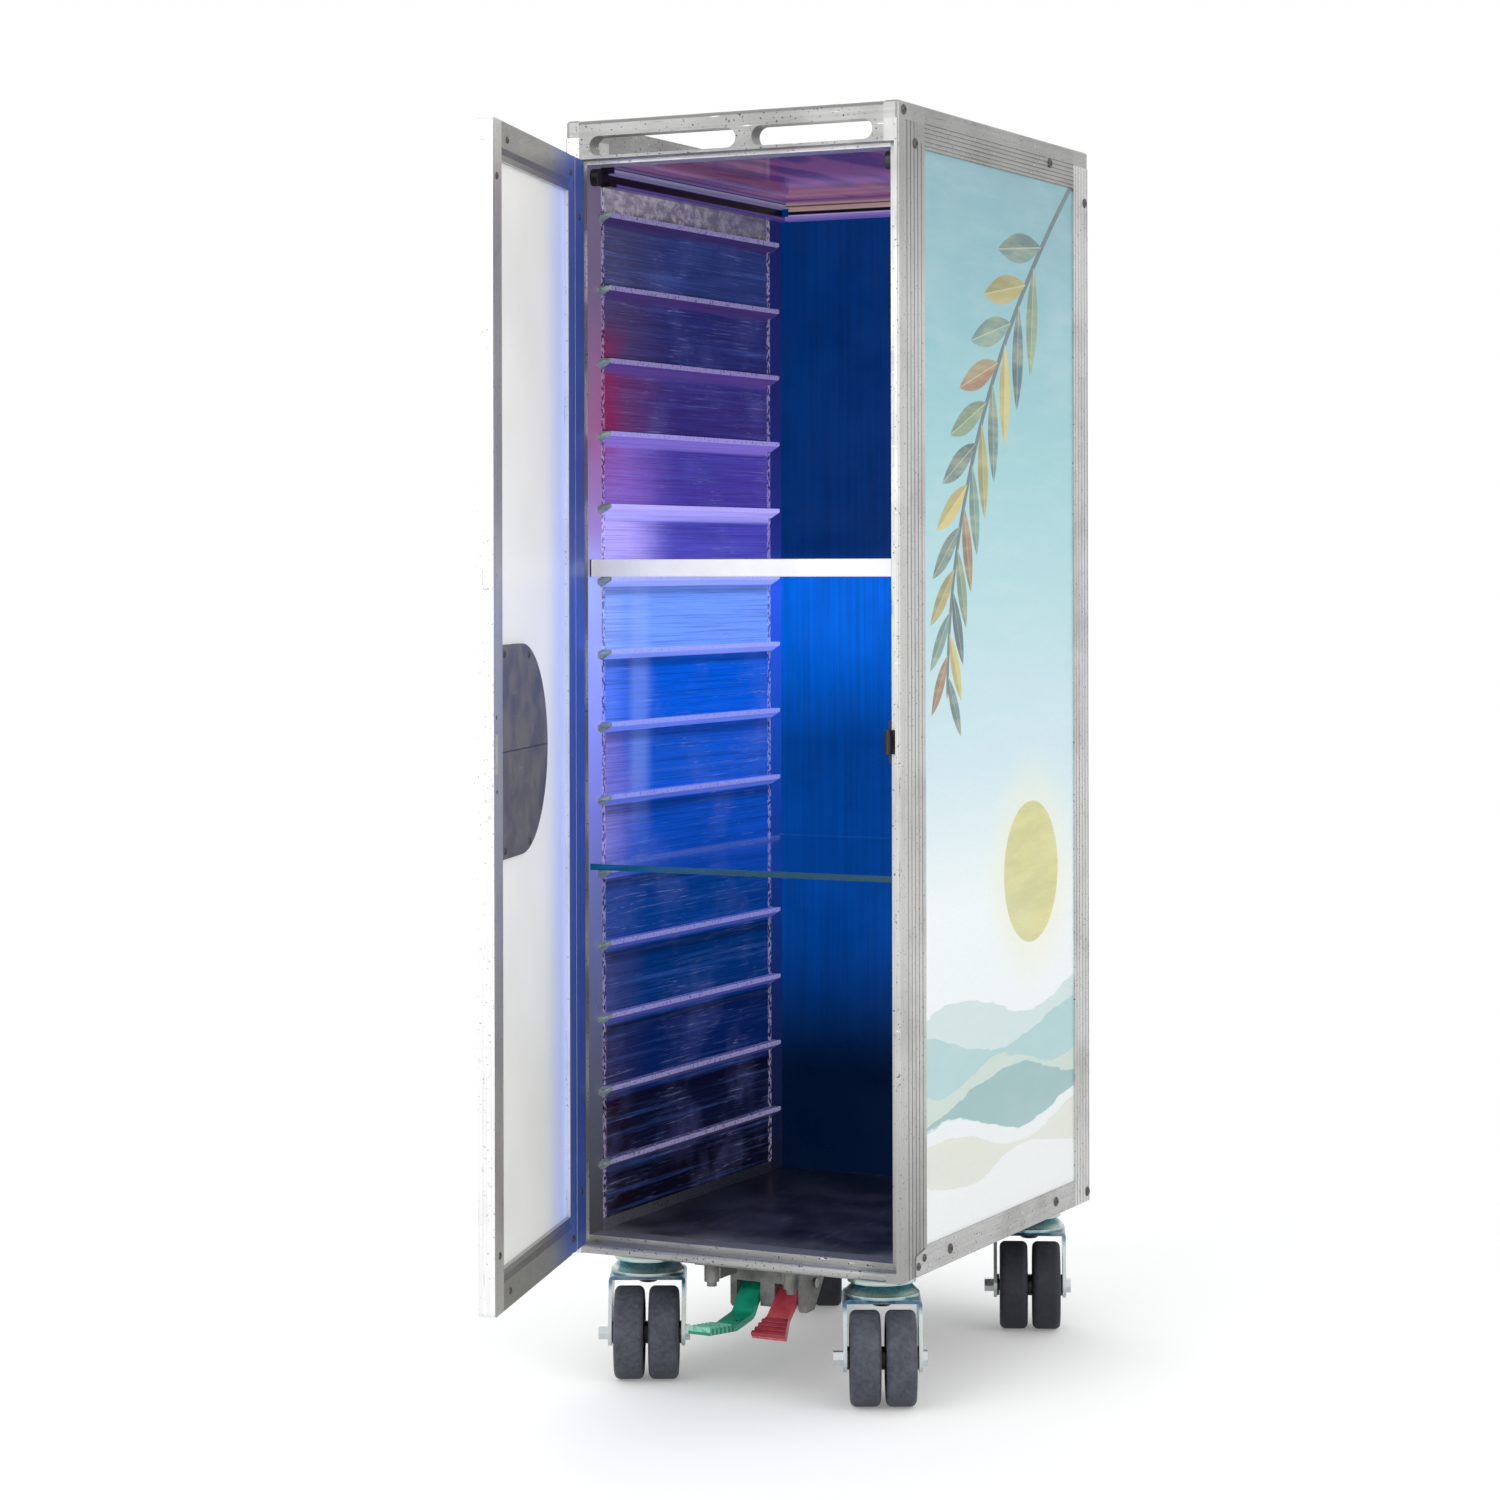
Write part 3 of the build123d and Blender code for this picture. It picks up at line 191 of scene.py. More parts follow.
def reopen(made):
    """The shader, tree, coordinates and base colour of a finish that takes another layer."""
    tree = made.node_tree
    shader = tree.nodes["Principled BSDF"]
    place = wire(tree, "ShaderNodeTexCoord").outputs["Object"]
    return shader, tree, place, shader.inputs["Base Color"].links[0].from_socket


def feed(tree, shader, color=None, roughness=None, height=None, lift=0.0003, strength=0.4):
    """Plugs the colour, the roughness and a bump into a finish's shader."""
    if color is not None:
        tree.links.new(color, shader.inputs["Base Color"])
    if roughness is not None:
        tree.links.new(roughness, shader.inputs["Roughness"])
    if height is not None:
        plugs = {"Height": height, "Distance": lift, "Strength": strength}
        bump = wire(tree, "ShaderNodeBump", None, plugs)
        tree.links.new(bump.outputs[0], shader.inputs["Normal"])


def drawn_aluminium(name, along, tone, metallic=0.75, wear=1.0):
    """Worn aluminium with drawn lines along x, y or z (0, 1 or 2)."""
    made, shader, tree, place = start_finish(name, metallic, 0.38)
    fine = [820.0, 820.0, 820.0]
    fine[along] = 5.0
    scored = [700.0, 700.0, 700.0]
    scored[along] = 26.0
    lines = speckle(tree, place, fine, 2.0)
    stains = speckle(tree, place, (14, 14, 14), 5.0)
    pits = ease(tree, speckle(tree, place, (420, 420, 420), 1.0), 0.66, 0.74)
    dents = ease(tree, speckle(tree, place, (130, 130, 130), 3.0), 0.68, 0.76)
    scores = ease(tree, speckle(tree, place, scored, 1.0), 0.70, 0.78)
    slashes = ease(tree, speckle(tree, place, (34, 300, 300), 1.0, (0.4, 0.7, 0.5)), 0.72, 0.78)
    color = blend(tree, soft(tree, lines), [c * 0.86 for c in tone[:3]] + [1], tone)
    color = blend(tree, ease(tree, stains, 0.42, 0.72, 0, 0.35 * wear), color, ink(128, 128, 126))
    color = blend(tree, product(tree, slashes, 0.5 * wear), color, ink(236, 236, 234))
    color = blend(tree, product(tree, dents, 0.45 * wear), color, ink(110, 109, 106))
    color = blend(tree, product(tree, scores, 0.55 * wear), color, ink(84, 83, 80))
    color = blend(tree, product(tree, pits, 0.75 * wear), color, ink(52, 51, 49))
    rough = soft(tree, stains, 0.30, 0.48)
    deep = sum_up(tree, "MULTIPLY_ADD", pits, -1.0, product(tree, lines, 0.25))
    feed(tree, shader, color, rough, deep, 0.00025, 0.5)
    return made


def dress(material, *names):
    """Gives CAD pieces their finish."""
    for name in names:
        part[name].data.materials.clear()
        part[name].data.materials.append(material)


upright = drawn_aluminium("upright_aluminium", 2, ink(204, 204, 203))
shader, tree, place, base = reopen(upright)
middle_height = 0.60
above = sum_up(tree, "SUBTRACT", axes(tree, place)[2], middle_height)
off_middle = sum_up(tree, "MAXIMUM", above, product(tree, above, -0.84))
# The post is darker towards the top and the bottom than at middle height.
darker_ends = ease(tree, off_middle, 0.24, 0.40, 0.0, 0.62)
tree.links.new(blend(tree, darker_ends, base, ink(122, 122, 121)), shader.inputs["Base Color"])
dress(upright, "post_front_right")
dress(drawn_aluminium("gallery_aluminium", 0, ink(144, 144, 143), 0.6, 1.3), "gallery_front", "gallery_rear")
dress(drawn_aluminium("cross_aluminium", 0, ink(186, 186, 185)), "bottom_rail_rear")
dress(drawn_aluminium("top_aluminium", 1, ink(160, 160, 159)), "top_rails")
dress(drawn_aluminium("side_aluminium", 1, ink(184, 184, 183), 0.7, 1.3), "bottom_rails")
dress(drawn_aluminium("sill_aluminium", 0, ink(176, 176, 175), 0.5, 2.1), "sill_front")
# The header's aluminium is a lighter copy of the frame's, painted lighter against the shade under it.
dress(drawn_aluminium("header_aluminium_lit", 0, ink(238, 236, 238), 0.6, 0.7), "header_front")
dress(drawn_aluminium("cap_aluminium", 0, ink(162, 162, 161), 0.4, 0.8), "corner_caps")


# Roof: a flat aluminium sheet that closes the cabinet and is the floor of the top tray.
# Its upper side is scratched by use; its smooth under side takes the strip's violet light and reflections of
# the light below, all painted, in its colour and as glow.
def facings(tree):
    """The three parts of the direction that a surface faces."""
    return axes(tree, wire(tree, "ShaderNodeNewGeometry").outputs["Normal"])


def shine(tree, shader, color, strength):
    """Gives a finish the colour and strength of the strip's light that it sends on."""
    tree.links.new(color, shader.inputs["Emission Color"])
    shader.inputs["Emission Strength"].default_value = strength


roof, shader, tree, place = start_finish("roof_sheet", 0.7, 0.3)
facing = facings(tree)
under = ease(tree, facing[2], 0.2, -0.2)
swirl = ease(tree, speckle(tree, place, (30, 420, 30), 2.0, (0, 0, 0.6)), 0.62, 0.72)
stains = speckle(tree, place, (11, 11, 11), 4.0)
top = blend(tree, soft(tree, stains), ink(176, 177, 177), ink(202, 203, 203))
top = blend(tree, product(tree, swirl, 0.4), top, ink(228, 228, 228))
depth = axes(tree, place)[1]
# Painted light: the under side takes the strip's violet light, deeper towards the back.
underside_painted_light = blend(tree, ease(tree, depth, 0.05, 0.30), ink(124, 84, 108), ink(90, 66, 140))
# Painted reflections of the light below, as glow on the under side.
painted_reflection_mask = ease(tree, speckle(tree, place, (26, 5, 26), 2.0, (0, 0, 0.4)), 0.44, 0.56)
painted_reflection_glow = blend(tree, painted_reflection_mask, ink(62, 34, 66), ink(96, 56, 84))
shine(tree, shader, blend(tree, under, (0, 0, 0, 1), painted_reflection_glow), 1.0)
feed(tree, shader, blend(tree, under, top, underside_painted_light), ease(tree, under, 0, 1, 0.38, 0.12))
dress(roof, "roof_panel")

# Floor: a dark grey anodised pan, set between the side rails. It is dulled by use, lit faintly from above
# and turns paler in a mottle towards the front edge.
pan, shader, tree, place = start_finish("floor_sheet", 0.45, 0.4)
stains = speckle(tree, place, (16, 16, 16), 5.0)
rubs = ease(tree, speckle(tree, place, (260, 20, 260), 2.0, (0, 0, 0.3)), 0.6, 0.72)
color = blend(tree, ease(tree, stains, 0.32, 0.68), ink(58, 56, 60), ink(98, 95, 102))
color = blend(tree, product(tree, rubs, 0.35), color, ink(160, 160, 166))
# Paler towards the front edge, in a mottle.
entry = axes(tree, place)[1]
entry = ease(tree, sum_up(tree, "MULTIPLY_ADD", stains, 0.05, entry), 0.045, -0.005, 0.0, 0.8)
paler_front = blend(tree, ease(tree, stains, 0.4, 0.6), ink(88, 87, 82), ink(160, 157, 150))
color = blend(tree, entry, color, paler_front)
feed(tree, shader, color, soft(tree, stains, 0.28, 0.5), rubs, 0.0001, 0.3)
dress(pan, "floor_pan")


# Runner walls: one aluminium sheet a side, pressed into fourteen tray runners and stained by glue and
# wear. The light strip stands opposite, and its light is painted into the sheet's colour and glow: violet by
# the front and blue further in, most of all just above and just below the white shelf, with painted shade,
# highlights and sheen along the runners.
def shades(tree, value, stops):
    """A colour that runs through stops, pairs of a share and a colour."""
    ramp = wire(tree, "ShaderNodeValToRGB", None, {0: value})
    elements = ramp.color_ramp.elements
    elements[0].position, elements[0].color = stops[0]
    elements[1].position, elements[1].color = stops[-1]
    for share, shade in stops[1:-1]:
        elements.new(share).color = shade
    return ramp.outputs[0]


def portion(tree, value, low, high):
    """How far a value is on its way from low to high, from nought to one."""
    return wire(tree, "ShaderNodeMapRange", None, {0: value, 1: low, 2: high}).outputs[0]


def bay_shades(tones):
    """Stops of one tone for each bay between runners, from the floor up, with a step at each runner."""
    bays = len(tones)
    stops = [(0.0, tones[0])]
    for k in range(1, bays):
        step = (lowest_runner + (k - 1) * runner_pitch - sheet_foot) / (sheet_head - sheet_foot)
        stops += [(step - 0.001, tones[k - 1]), (step + 0.001, tones[k])]
    return (*stops, (1.0, tones[-1]))


def runner_sheet(name, side):
    """The pressed sheet of a runner wall, with drawn lines, rub marks and a bead of old glue round it; the
    strip's light is painted into its colour and glow, with painted shade, highlights and sheen along the
    runners.
    """
    made, shader, tree, place = start_finish(name, 0.3, 0.42)
    shader.inputs["Specular IOR Level"].default_value = 0.0
    across, deep_in, up_high = axes(tree, place)
    front_edge, rear_edge = (corner.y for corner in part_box("runner_wall_left"))
    clouds = speckle(tree, place, (13, 13, 16), 4.0)
    lines = speckle(tree, place, (400, 9, 950), 4.0)
    brushed = speckle(tree, place, (60, 5, 240), 4.0)
    rubs = ease(tree, speckle(tree, place, (420, 22, 800), 4.0, (0.34, 0, 0)), 0.58, 0.72)
    nicks = ease(tree, speckle(tree, place, (420, 40, 620), 2.0, (-0.8, 0, 0)), 0.66, 0.76)
    crumbs = speckle(tree, place, (380, 380, 260), 4.0)
    share = portion(tree, up_high, sheet_foot, sheet_head)
    # The bay tones are painted light: violet near the front (outer), blue further in (inner).
    inner = bay_shades((
        ink(10, 10, 26), ink(12, 16, 44), ink(8, 30, 84), ink(3, 46, 108), ink(4, 55, 130),
        ink(12, 72, 176), ink(22, 84, 198), ink(8, 90, 212), ink(116, 158, 252), ink(78, 72, 182),
        ink(72, 60, 156), ink(54, 46, 116), ink(40, 42, 102), ink(42, 54, 110), ink(84, 78, 96),
    ))
    outer = bay_shades((
        ink(22, 14, 20), ink(28, 18, 30), ink(44, 40, 72), ink(56, 60, 112), ink(46, 68, 138),
        ink(122, 118, 200), ink(124, 118, 206), ink(88, 124, 236), ink(142, 170, 254), ink(178, 166, 253),
        ink(134, 98, 190), ink(100, 54, 104), ink(70, 58, 100), ink(64, 64, 102), ink(116, 108, 126),
    ))
    shifted = sum_up(tree, "MULTIPLY_ADD", clouds, 0.07, deep_in)
    near_high = ease(tree, shifted, 0.150, 0.025)
    near_low = ease(tree, shifted, 0.085, 0.005)
    near = blend(tree, ease(tree, up_high, 0.640, 0.660), near_low, near_high)
    lit = blend(tree, near, shades(tree, share, inner), shades(tree, share, outer))
    lit = blend(tree, ease(tree, lines, 0.30, 0.62, 0.34, 0.0), lit, (0, 0, 0, 1))
    lit = blend(tree, ease(tree, brushed, 0.50, 0.74, 0.0, 0.10), lit, ink(96, 140, 240))
    lit = blend(tree, ease(tree, clouds, 0.46, 0.74, 0.0, 0.10), lit, ink(130, 136, 210))
    # Rub marks and nicks, painted as bright highlights.
    marked = sum_up(tree, "MAXIMUM", rubs, nicks)
    rub_highlights = product(tree, marked, ease(tree, clouds, 0.35, 0.65, 0.02, 0.30))
    lit = blend(tree, rub_highlights, lit, blend(tree, 0.5, lit, ink(190, 204, 252)))
    # A painted sheen: a soft pale band down the middle bays.
    painted_sheen = product(tree, ease(tree, deep_in, 0.014, 0.034), ease(tree, deep_in, 0.066, 0.044))
    painted_sheen = product(tree, painted_sheen, ease(tree, up_high, 0.40, 0.52, 0.0, 0.24))
    painted_sheen = product(tree, painted_sheen, ease(tree, up_high, 0.656, 0.650))
    lit = blend(tree, painted_sheen, lit, ink(166, 190, 255))
    # A painted spill of crimson light on the upper bays near the front.
    red_light_band = product(tree, ease(tree, up_high, 0.700, 0.790), ease(tree, up_high, 0.880, 0.835))
    red_light_spill = ease(tree, sum_up(tree, "MULTIPLY_ADD", clouds, 0.07, deep_in), 0.052, 0.012, 0.0, 0.62)
    lit = blend(tree, product(tree, red_light_band, red_light_spill), lit, ink(132, 26, 74))
    off = product(tree, sum_up(tree, "SUBTRACT", across, centre), side)
    flat_part = ease(tree, off, 0.1350, 0.1366)
    # Painted shade and light along the runners: above eye level a dark line just above each runner and a
    # painted glow just below it; below eye level a painted shadow just below each runner.
    over = sum_up(tree, "DIVIDE", sum_up(tree, "SUBTRACT", up_high, lowest_runner), runner_pitch)
    over = sum_up(tree, "FRACT", over)
    eye_level = ease(tree, up_high, 0.64, 0.67)
    foot_shade = product(tree, ease(tree, over, 0.16, 0.075), eye_level)
    shadow = product(tree, ease(tree, over, 0.80, 0.925), ease(tree, eye_level, 0.0, 1.0, 0.72, 0.0))
    under_glow = product(tree, ease(tree, over, 0.865, 0.92), eye_level)
    under_glow = product(tree, under_glow, flat_part)
    painted_shade_line = product(tree, sum_up(tree, "MAXIMUM", foot_shade, shadow), flat_part)
    lit = blend(tree, product(tree, painted_shade_line, 0.62), lit, ink(8, 4, 22))
    up = facings(tree)
    # The ridges of the runners are painted with light and shade that change with height.
    ridge_light = (
        (0.0, ink(40, 36, 56)), (0.10, ink(54, 48, 84)), (0.21, ink(70, 72, 146)),
        (0.34, ink(66, 84, 178)), (0.48, ink(106, 130, 232)), (0.62, ink(156, 172, 255)),
        (0.68, ink(176, 166, 250)), (0.74, ink(130, 112, 204)), (0.81, ink(82, 60, 132)),
        (0.88, ink(64, 46, 104)), (1.0, ink(44, 36, 78)),
    )
    raised = ease(tree, off, 0.1366, 0.1350, 0.0, 0.95)
    painted_ridge_light = blend(tree, soft(tree, lines, 0.2, 0.0), shades(tree, share, ridge_light), (0, 0, 0, 1))
    lit = blend(tree, product(tree, under_glow, 0.8), lit, painted_ridge_light)
    lit = blend(tree, raised, lit, painted_ridge_light)
    # Dust on the upward faces of the ridges, painted pale also as a highlight.
    dusty = product(tree, raised, ease(tree, up[2], 0.3, 0.7))
    dusty = product(tree, dusty, ease(tree, crumbs, 0.42, 0.60, 0.0, 0.45))
    lit = blend(tree, product(tree, dusty, 0.4), lit, ink(176, 178, 234))
    # A painted highlight along the tip of each ridge.
    lip_highlight = product(tree, ease(tree, off, 0.1292, 0.1287), ease(tree, crumbs, 0.3, 0.5, 0.05, 0.3))
    lit = blend(tree, lip_highlight, lit, ink(206, 200, 255))
    patches = speckle(tree, place, (70, 70, 110), 5.0, (0, 0, 0), 0.7)
    residue = product(tree, ease(tree, up_high, 0.957, 0.961), ease(tree, deep_in, 0.26, 0.06, 0.35, 1.0))
    residue = product(tree, residue, ease(tree, patches, 0.40, 0.66, 0.10, 0.75))
    lit = blend(tree, residue, lit, ink(164, 158, 168))
    uneven = sum_up(tree, "MULTIPLY_ADD", crumbs, 0.004, deep_in)
    bead = sum_up(tree, "MAXIMUM", ease(tree, uneven, front_edge + 0.0095, front_edge + 0.0060),
                  ease(tree, uneven, rear_edge - 0.0055, rear_edge - 0.0030))
    bead = product(tree, bead, flat_part)
    pale_bead = blend(tree, 0.45, lit, ink(226, 206, 240))
    crumbled = blend(tree, ease(tree, crumbs, 0.44, 0.54), ink(24, 18, 34), pale_bead)
    lit = blend(tree, product(tree, bead, 0.55), lit, crumbled)
    # The painted light glows; the base colour is a darker copy of it.
    shine(tree, shader, lit, 0.95)
    rough = soft(tree, clouds, 0.30, 0.5)
    feed(tree, shader, blend(tree, 0.62, lit, (0, 0, 0, 1)), rough, lines, 0.0003, 0.3)
    return made


sheet_foot = 0.117
sheet_head = 0.997
runner_pitch = 0.06093
lowest_runner = 0.1622
centre = -0.004471
dress(runner_sheet("left_runner_sheet", -1), "runner_wall_left")
dress(runner_sheet("right_runner_sheet", 1), "runner_wall_right")

# Left front post and rear posts: the same worn extrusion. On the faces that look into the cabinet the
# strip's
# light is painted, in colour and as glow: rosy at the top, bright lavender in the middle and grey-blue by
# the floor.
def lit_upright(name, light_shades, reach):
    """Upright aluminium whose inner faces take painted light in colours that change with height."""
    made = drawn_aluminium(name, 2, ink(212, 212, 211))
    shader, tree, place, base = reopen(made)
    spot = axes(tree, place)
    facing = facings(tree)
    off = sum_up(tree, "SUBTRACT", spot[0], centre)
    turned_in = product(tree, facing[0], product(tree, sum_up(tree, "SIGN", off), -1.0))
    if reach > 0:
        deep = product(tree, facing[1], -1.0)
        turned_in = sum_up(tree, "MAXIMUM", turned_in, deep)
    inside = ease(tree, turned_in, 0.5, 0.9)
    inside = product(tree, inside, ease(tree, sum_up(tree, "ABSOLUTE", off), 0.1412, 0.1390))
    inside = product(tree, inside, ease(tree, spot[2], 0.998, 0.994))
    inside = product(tree, inside, ease(tree, spot[2], 0.110, 0.118))
    if reach > 0:
        inside = product(tree, inside, ease(tree, spot[1], reach + 0.003, reach))
    share = portion(tree, spot[2], sheet_foot, sheet_head)
    # Painted light on the inner faces, in their colour and as glow.
    light = shades(tree, share, light_shades)
    tree.links.new(blend(tree, product(tree, inside, 0.85), base, light), shader.inputs["Base Color"])
    shine(tree, shader, blend(tree, inside, (0, 0, 0, 1), light), 0.62)
    return made


post_light = (
    (0.0, ink(60, 58, 60)), (0.15, ink(84, 86, 108)), (0.30, ink(104, 112, 164)),
    (0.40, ink(130, 134, 216)), (0.50, ink(160, 168, 248)), (0.61, ink(176, 186, 255)),
    (0.66, ink(164, 136, 206)), (0.75, ink(160, 98, 142)), (0.88, ink(120, 98, 130)),
    (1.0, ink(104, 98, 122)),
)
dress(lit_upright("lit_front_upright", post_light, 0), "post_front_left")
rear_light = (
    (0.0, ink(18, 20, 34)), (0.15, ink(16, 32, 84)), (0.30, ink(14, 52, 128)), (0.45, ink(22, 80, 184)),
    (0.60, ink(50, 98, 214)), (0.64, ink(38, 50, 144)), (0.80, ink(30, 34, 104)), (1.0, ink(28, 32, 92)),
)
dress(lit_upright("lit_rear_upright", rear_light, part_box("back_wall")[0].y), "posts_rear")

# Back wall: a smooth satin sheet that takes nearly all its colour from the blue light, painted as glow.
# The painted glow is brightest between the shelves, and the sheet has a few dull patches where it was
# rubbed, where the glow is dimmer too.
back, shader, tree, place = start_finish("back_sheet", 0.2, 0.34)
shader.inputs["Specular IOR Level"].default_value = 0.25
spot = axes(tree, place)
stains = speckle(tree, place, (18, 18, 18), 5.0)
streaks = speckle(tree, place, (240, 240, 5), 3.0)
color = blend(tree, soft(tree, stains), ink(0, 12, 30), ink(0, 20, 44))
# Painted glow: brightest between the shelves, dimmer on the stains and fading above the shelves.
bright = ease(tree, spot[2], 0.42, 0.64)
bright = product(tree, bright, ease(tree, spot[2], 0.668, 0.655))
bright = sum_up(tree, "MAXIMUM", bright, ease(tree, spot[2], 0.20, 0.36, 0.0, 0.34))
bright = product(tree, bright, ease(tree, stains, 0.2, 0.8, 0.8, 1.0))
bright = product(tree, bright, soft(tree, streaks, 0.82, 1.06))
top_fade = ease(tree, spot[2], 0.66, 0.68, 0.0, 0.5)
glow = blend(tree, bright, ink(0, 14, 40), ink(0, 114, 255))
glow = blend(tree, top_fade, glow, (0, 0, 0, 1))
shine(tree, shader, glow, 0.85)
feed(tree, shader, color, soft(tree, stains, 0.22, 0.42))
dress(back, "back_wall")

# Slide rails: grooved aluminium extrusions screwed under the ceiling round three sides. Their flanges
# take painted highlights as thin lines and their grooves are painted dark as shade, in colour and as glow.
def banded_rail(name, piece, along, bands, dark_front):
    """A grooved rail whose bands of painted light and shade run along it."""
    made, shader, tree, place = start_finish(name, 0.5, 0.32)
    spot = axes(tree, place)
    low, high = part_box(piece)
    share = portion(tree, spot[2], low.z, high.z)
    scale = [500, 500, 500]
    scale[along] = 8
    lines = speckle(tree, place, scale, 3.0)
    # Painted highlights on the flanges and painted shade in the grooves, also as glow.
    tone = shades(tree, share, bands)
    tone = blend(tree, soft(tree, lines, 0.28, 0.0), tone, (0, 0, 0, 1))
    if dark_front:
        tone = blend(tree, ease(tree, spot[1], low.y + 0.012, low.y + 0.010), tone, ink(14, 12, 16))
    shine(tree, shader, tone, 0.42)
    feed(tree, shader, tone, None, lines, 0.0002, 0.3)
    return made


side_light_bands = (
    (0.0, ink(80, 66, 130)), (0.13, ink(100, 84, 160)), (0.17, ink(10, 8, 18)), (0.55, ink(12, 10, 22)),
    (0.60, ink(128, 126, 168)), (0.78, ink(168, 166, 200)), (0.82, ink(36, 30, 52)),
    (0.88, ink(128, 118, 168)), (1.0, ink(84, 72, 116)),
)
rear_light_bands = (
    (0.0, ink(128, 112, 200)), (0.22, ink(176, 160, 226)), (0.30, ink(196, 184, 240)),
    (0.34, ink(14, 12, 26)), (0.46, ink(20, 16, 26)), (0.50, ink(206, 180, 172)),
    (0.66, ink(190, 160, 156)), (0.70, ink(30, 22, 28)), (0.76, ink(200, 172, 164)),
    (0.90, ink(150, 116, 150)), (1.0, ink(100, 70, 120)),
)
dress(banded_rail("side_slide_rail", "slide_rails", 1, side_light_bands, True), "slide_rails")
dress(banded_rail("rear_slide_rail", "slide_rail_rear", 0, rear_light_bands, False), "slide_rail_rear")

# Runner plugs: small wedges moulded in grey-green plastic. One is pushed into each open end of every
# runner, at the front and at the rear.
plug, shader, tree, place = start_finish("plug_plastic", 0.0, 0.55)
stains = speckle(tree, place, (120, 120, 120), 4.0)
plug_tone = blend(tree, soft(tree, stains), ink(104, 120, 122), ink(150, 166, 164))
# The plugs glow faintly with painted light from the strip.
shine(tree, shader, plug_tone, 0.12)
feed(tree, shader, plug_tone, None, stains)
dress(plug, "runner_plugs")

# White shelf: a lacquered board that is slid in on a pair of runners and held by nothing else. Its left
# end has a dark edging.
board, shader, tree, place = start_finish("white_lacquer", 0.0, 0.35)
left_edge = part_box("shelf_white")[0].x
across = axes(tree, place)[0]
clouds = speckle(tree, place, (30, 30, 30), 3.0)
color = blend(tree, soft(tree, clouds), ink(232, 232, 236), ink(242, 242, 245))
color = blend(tree, ease(tree, across, left_edge + 0.0016, left_edge + 0.0012), color, ink(40, 40, 46))
shader.inputs["Coat Weight"].default_value = 0.3
# A painted glow of the strip's light on the board.
shine(tree, shader, color, 0.22)
feed(tree, shader, color, None, speckle(tree, place, (400, 400, 400)), 0.00004, 0.3)
dress(board, "shelf_white")

# Glass shelf: five millimetres of clear float glass that lies on a lower pair of runners. Its ground
# edges look deep teal.
glass, shader, tree, place = start_finish("clear_glass", 0.0, 0.02)
facing = facings(tree)
flat = ease(tree, sum_up(tree, "ABSOLUTE", facing[2]), 0.4, 0.6)
clear = blend(tree, speckle(tree, place, (9, 9, 9)), ink(232, 246, 246), ink(240, 250, 250))
feed(tree, shader, blend(tree, flat, ink(14, 84, 110), clear), ease(tree, flat, 0, 1, 0.25, 0.02))
# The ground edges also glow teal with painted light.
shine(tree, shader, blend(tree, flat, ink(8, 70, 92), (0, 0, 0, 1)), 0.7)
shader.inputs["Transmission Weight"].default_value = 1.0
shader.inputs["IOR"].default_value = 1.45
dress(glass, "shelf_glass")

# Light strip: blue diodes in a row under a milky cover, in two lengths, one above each shelf. They sit
# on the hidden inner face of the right front post.
diodes, shader, tree, place = start_finish("lit_strip", 0.0, 0.5)
height = axes(tree, place)[2]
dots = sum_up(tree, "SINE", product(tree, height, 2 * math.pi / 0.0166))
glow = blend(tree, ease(tree, dots, -1, 1), ink(60, 60, 225), ink(120, 130, 255))
shine(tree, shader, glow, 1.2)
feed(tree, shader, glow)
dress(diodes, "led_strip")


# Side panels: laminated sheets with a printed film, held under the lips of the posts and rails.
# The print is a plain seaside pattern: a pale sun, a leafy sprig and rolling bands of water and sand.
def painted_band(tree, spot, brush, crest, swing, wave, shift):
    """A band of paint below a rolling line across the panel."""
    roll = sum_up(tree, "SINE", sum_up(tree, "MULTIPLY_ADD", spot[1], wave, shift))
    line = sum_up(tree, "MULTIPLY_ADD", roll, swing, crest)
    line = sum_up(tree, "MULTIPLY_ADD", brush, 0.016, line)
    return ease(tree, sum_up(tree, "SUBTRACT", line, spot[2]), -0.0006, 0.0006)


def leaf(tree, place, stem, length, width, turn):
    """A pointed leaf on the panel: its middle, its size and its turn from the horizontal."""
    sin, cos = math.sin(turn), math.cos(turn)
    spot = axes(tree, place)
    over = sum_up(tree, "SUBTRACT", spot[1], stem[0])
    up = sum_up(tree, "SUBTRACT", spot[2], stem[1])
    along = sum_up(tree, "MULTIPLY_ADD", over, cos * 2 / length, product(tree, up, sin * 2 / length))
    beside = sum_up(tree, "MULTIPLY_ADD", over, -sin * 2 / width, product(tree, up, cos * 2 / width))
    hull = sum_up(tree, "MULTIPLY_ADD", product(tree, along, along), -1.0, 1.0)
    room = sum_up(tree, "SUBTRACT", hull, sum_up(tree, "ABSOLUTE", beside))
    return ease(tree, room, 0.0, 0.09), beside


film, shader, tree, place = start_finish("printed_film", 0.0, 0.42)
spot = axes(tree, place)
brush = speckle(tree, place, (30, 12, 70), 5.0, (0.1, 0, 0), 0.6)
grain = speckle(tree, place, (700, 700, 700), 2.0)
sky_shades = (
    (0.0, ink(240, 245, 248)), (0.30, ink(244, 251, 253)), (0.43, ink(208, 233, 241)),
    (0.59, ink(178, 221, 228)), (0.72, ink(152, 207, 213)), (0.85, ink(134, 189, 199)),
    (1.0, ink(112, 164, 176)),
)
tall = portion(tree, spot[2], 0.12, 1.0)
sky = shades(tree, tall, sky_shades)
color = blend(tree, ease(tree, brush, 0.35, 0.75, 0, 0.12), sky, ink(246, 252, 253))
sun_middle = (0.1455, 0.212, 0.405)
flat_place = wire(tree, "ShaderNodeCombineXYZ", None, {0: sun_middle[0], 1: spot[1], 2: spot[2]}).outputs[0]
reach = wire(tree, "ShaderNodeVectorMath", {"operation": "DISTANCE"}, {0: flat_place, 1: sun_middle})
halo = ease(tree, reach.outputs["Value"], 0.110, 0.060, 0.0, 0.5)
color = blend(tree, halo, color, ink(242, 244, 214))
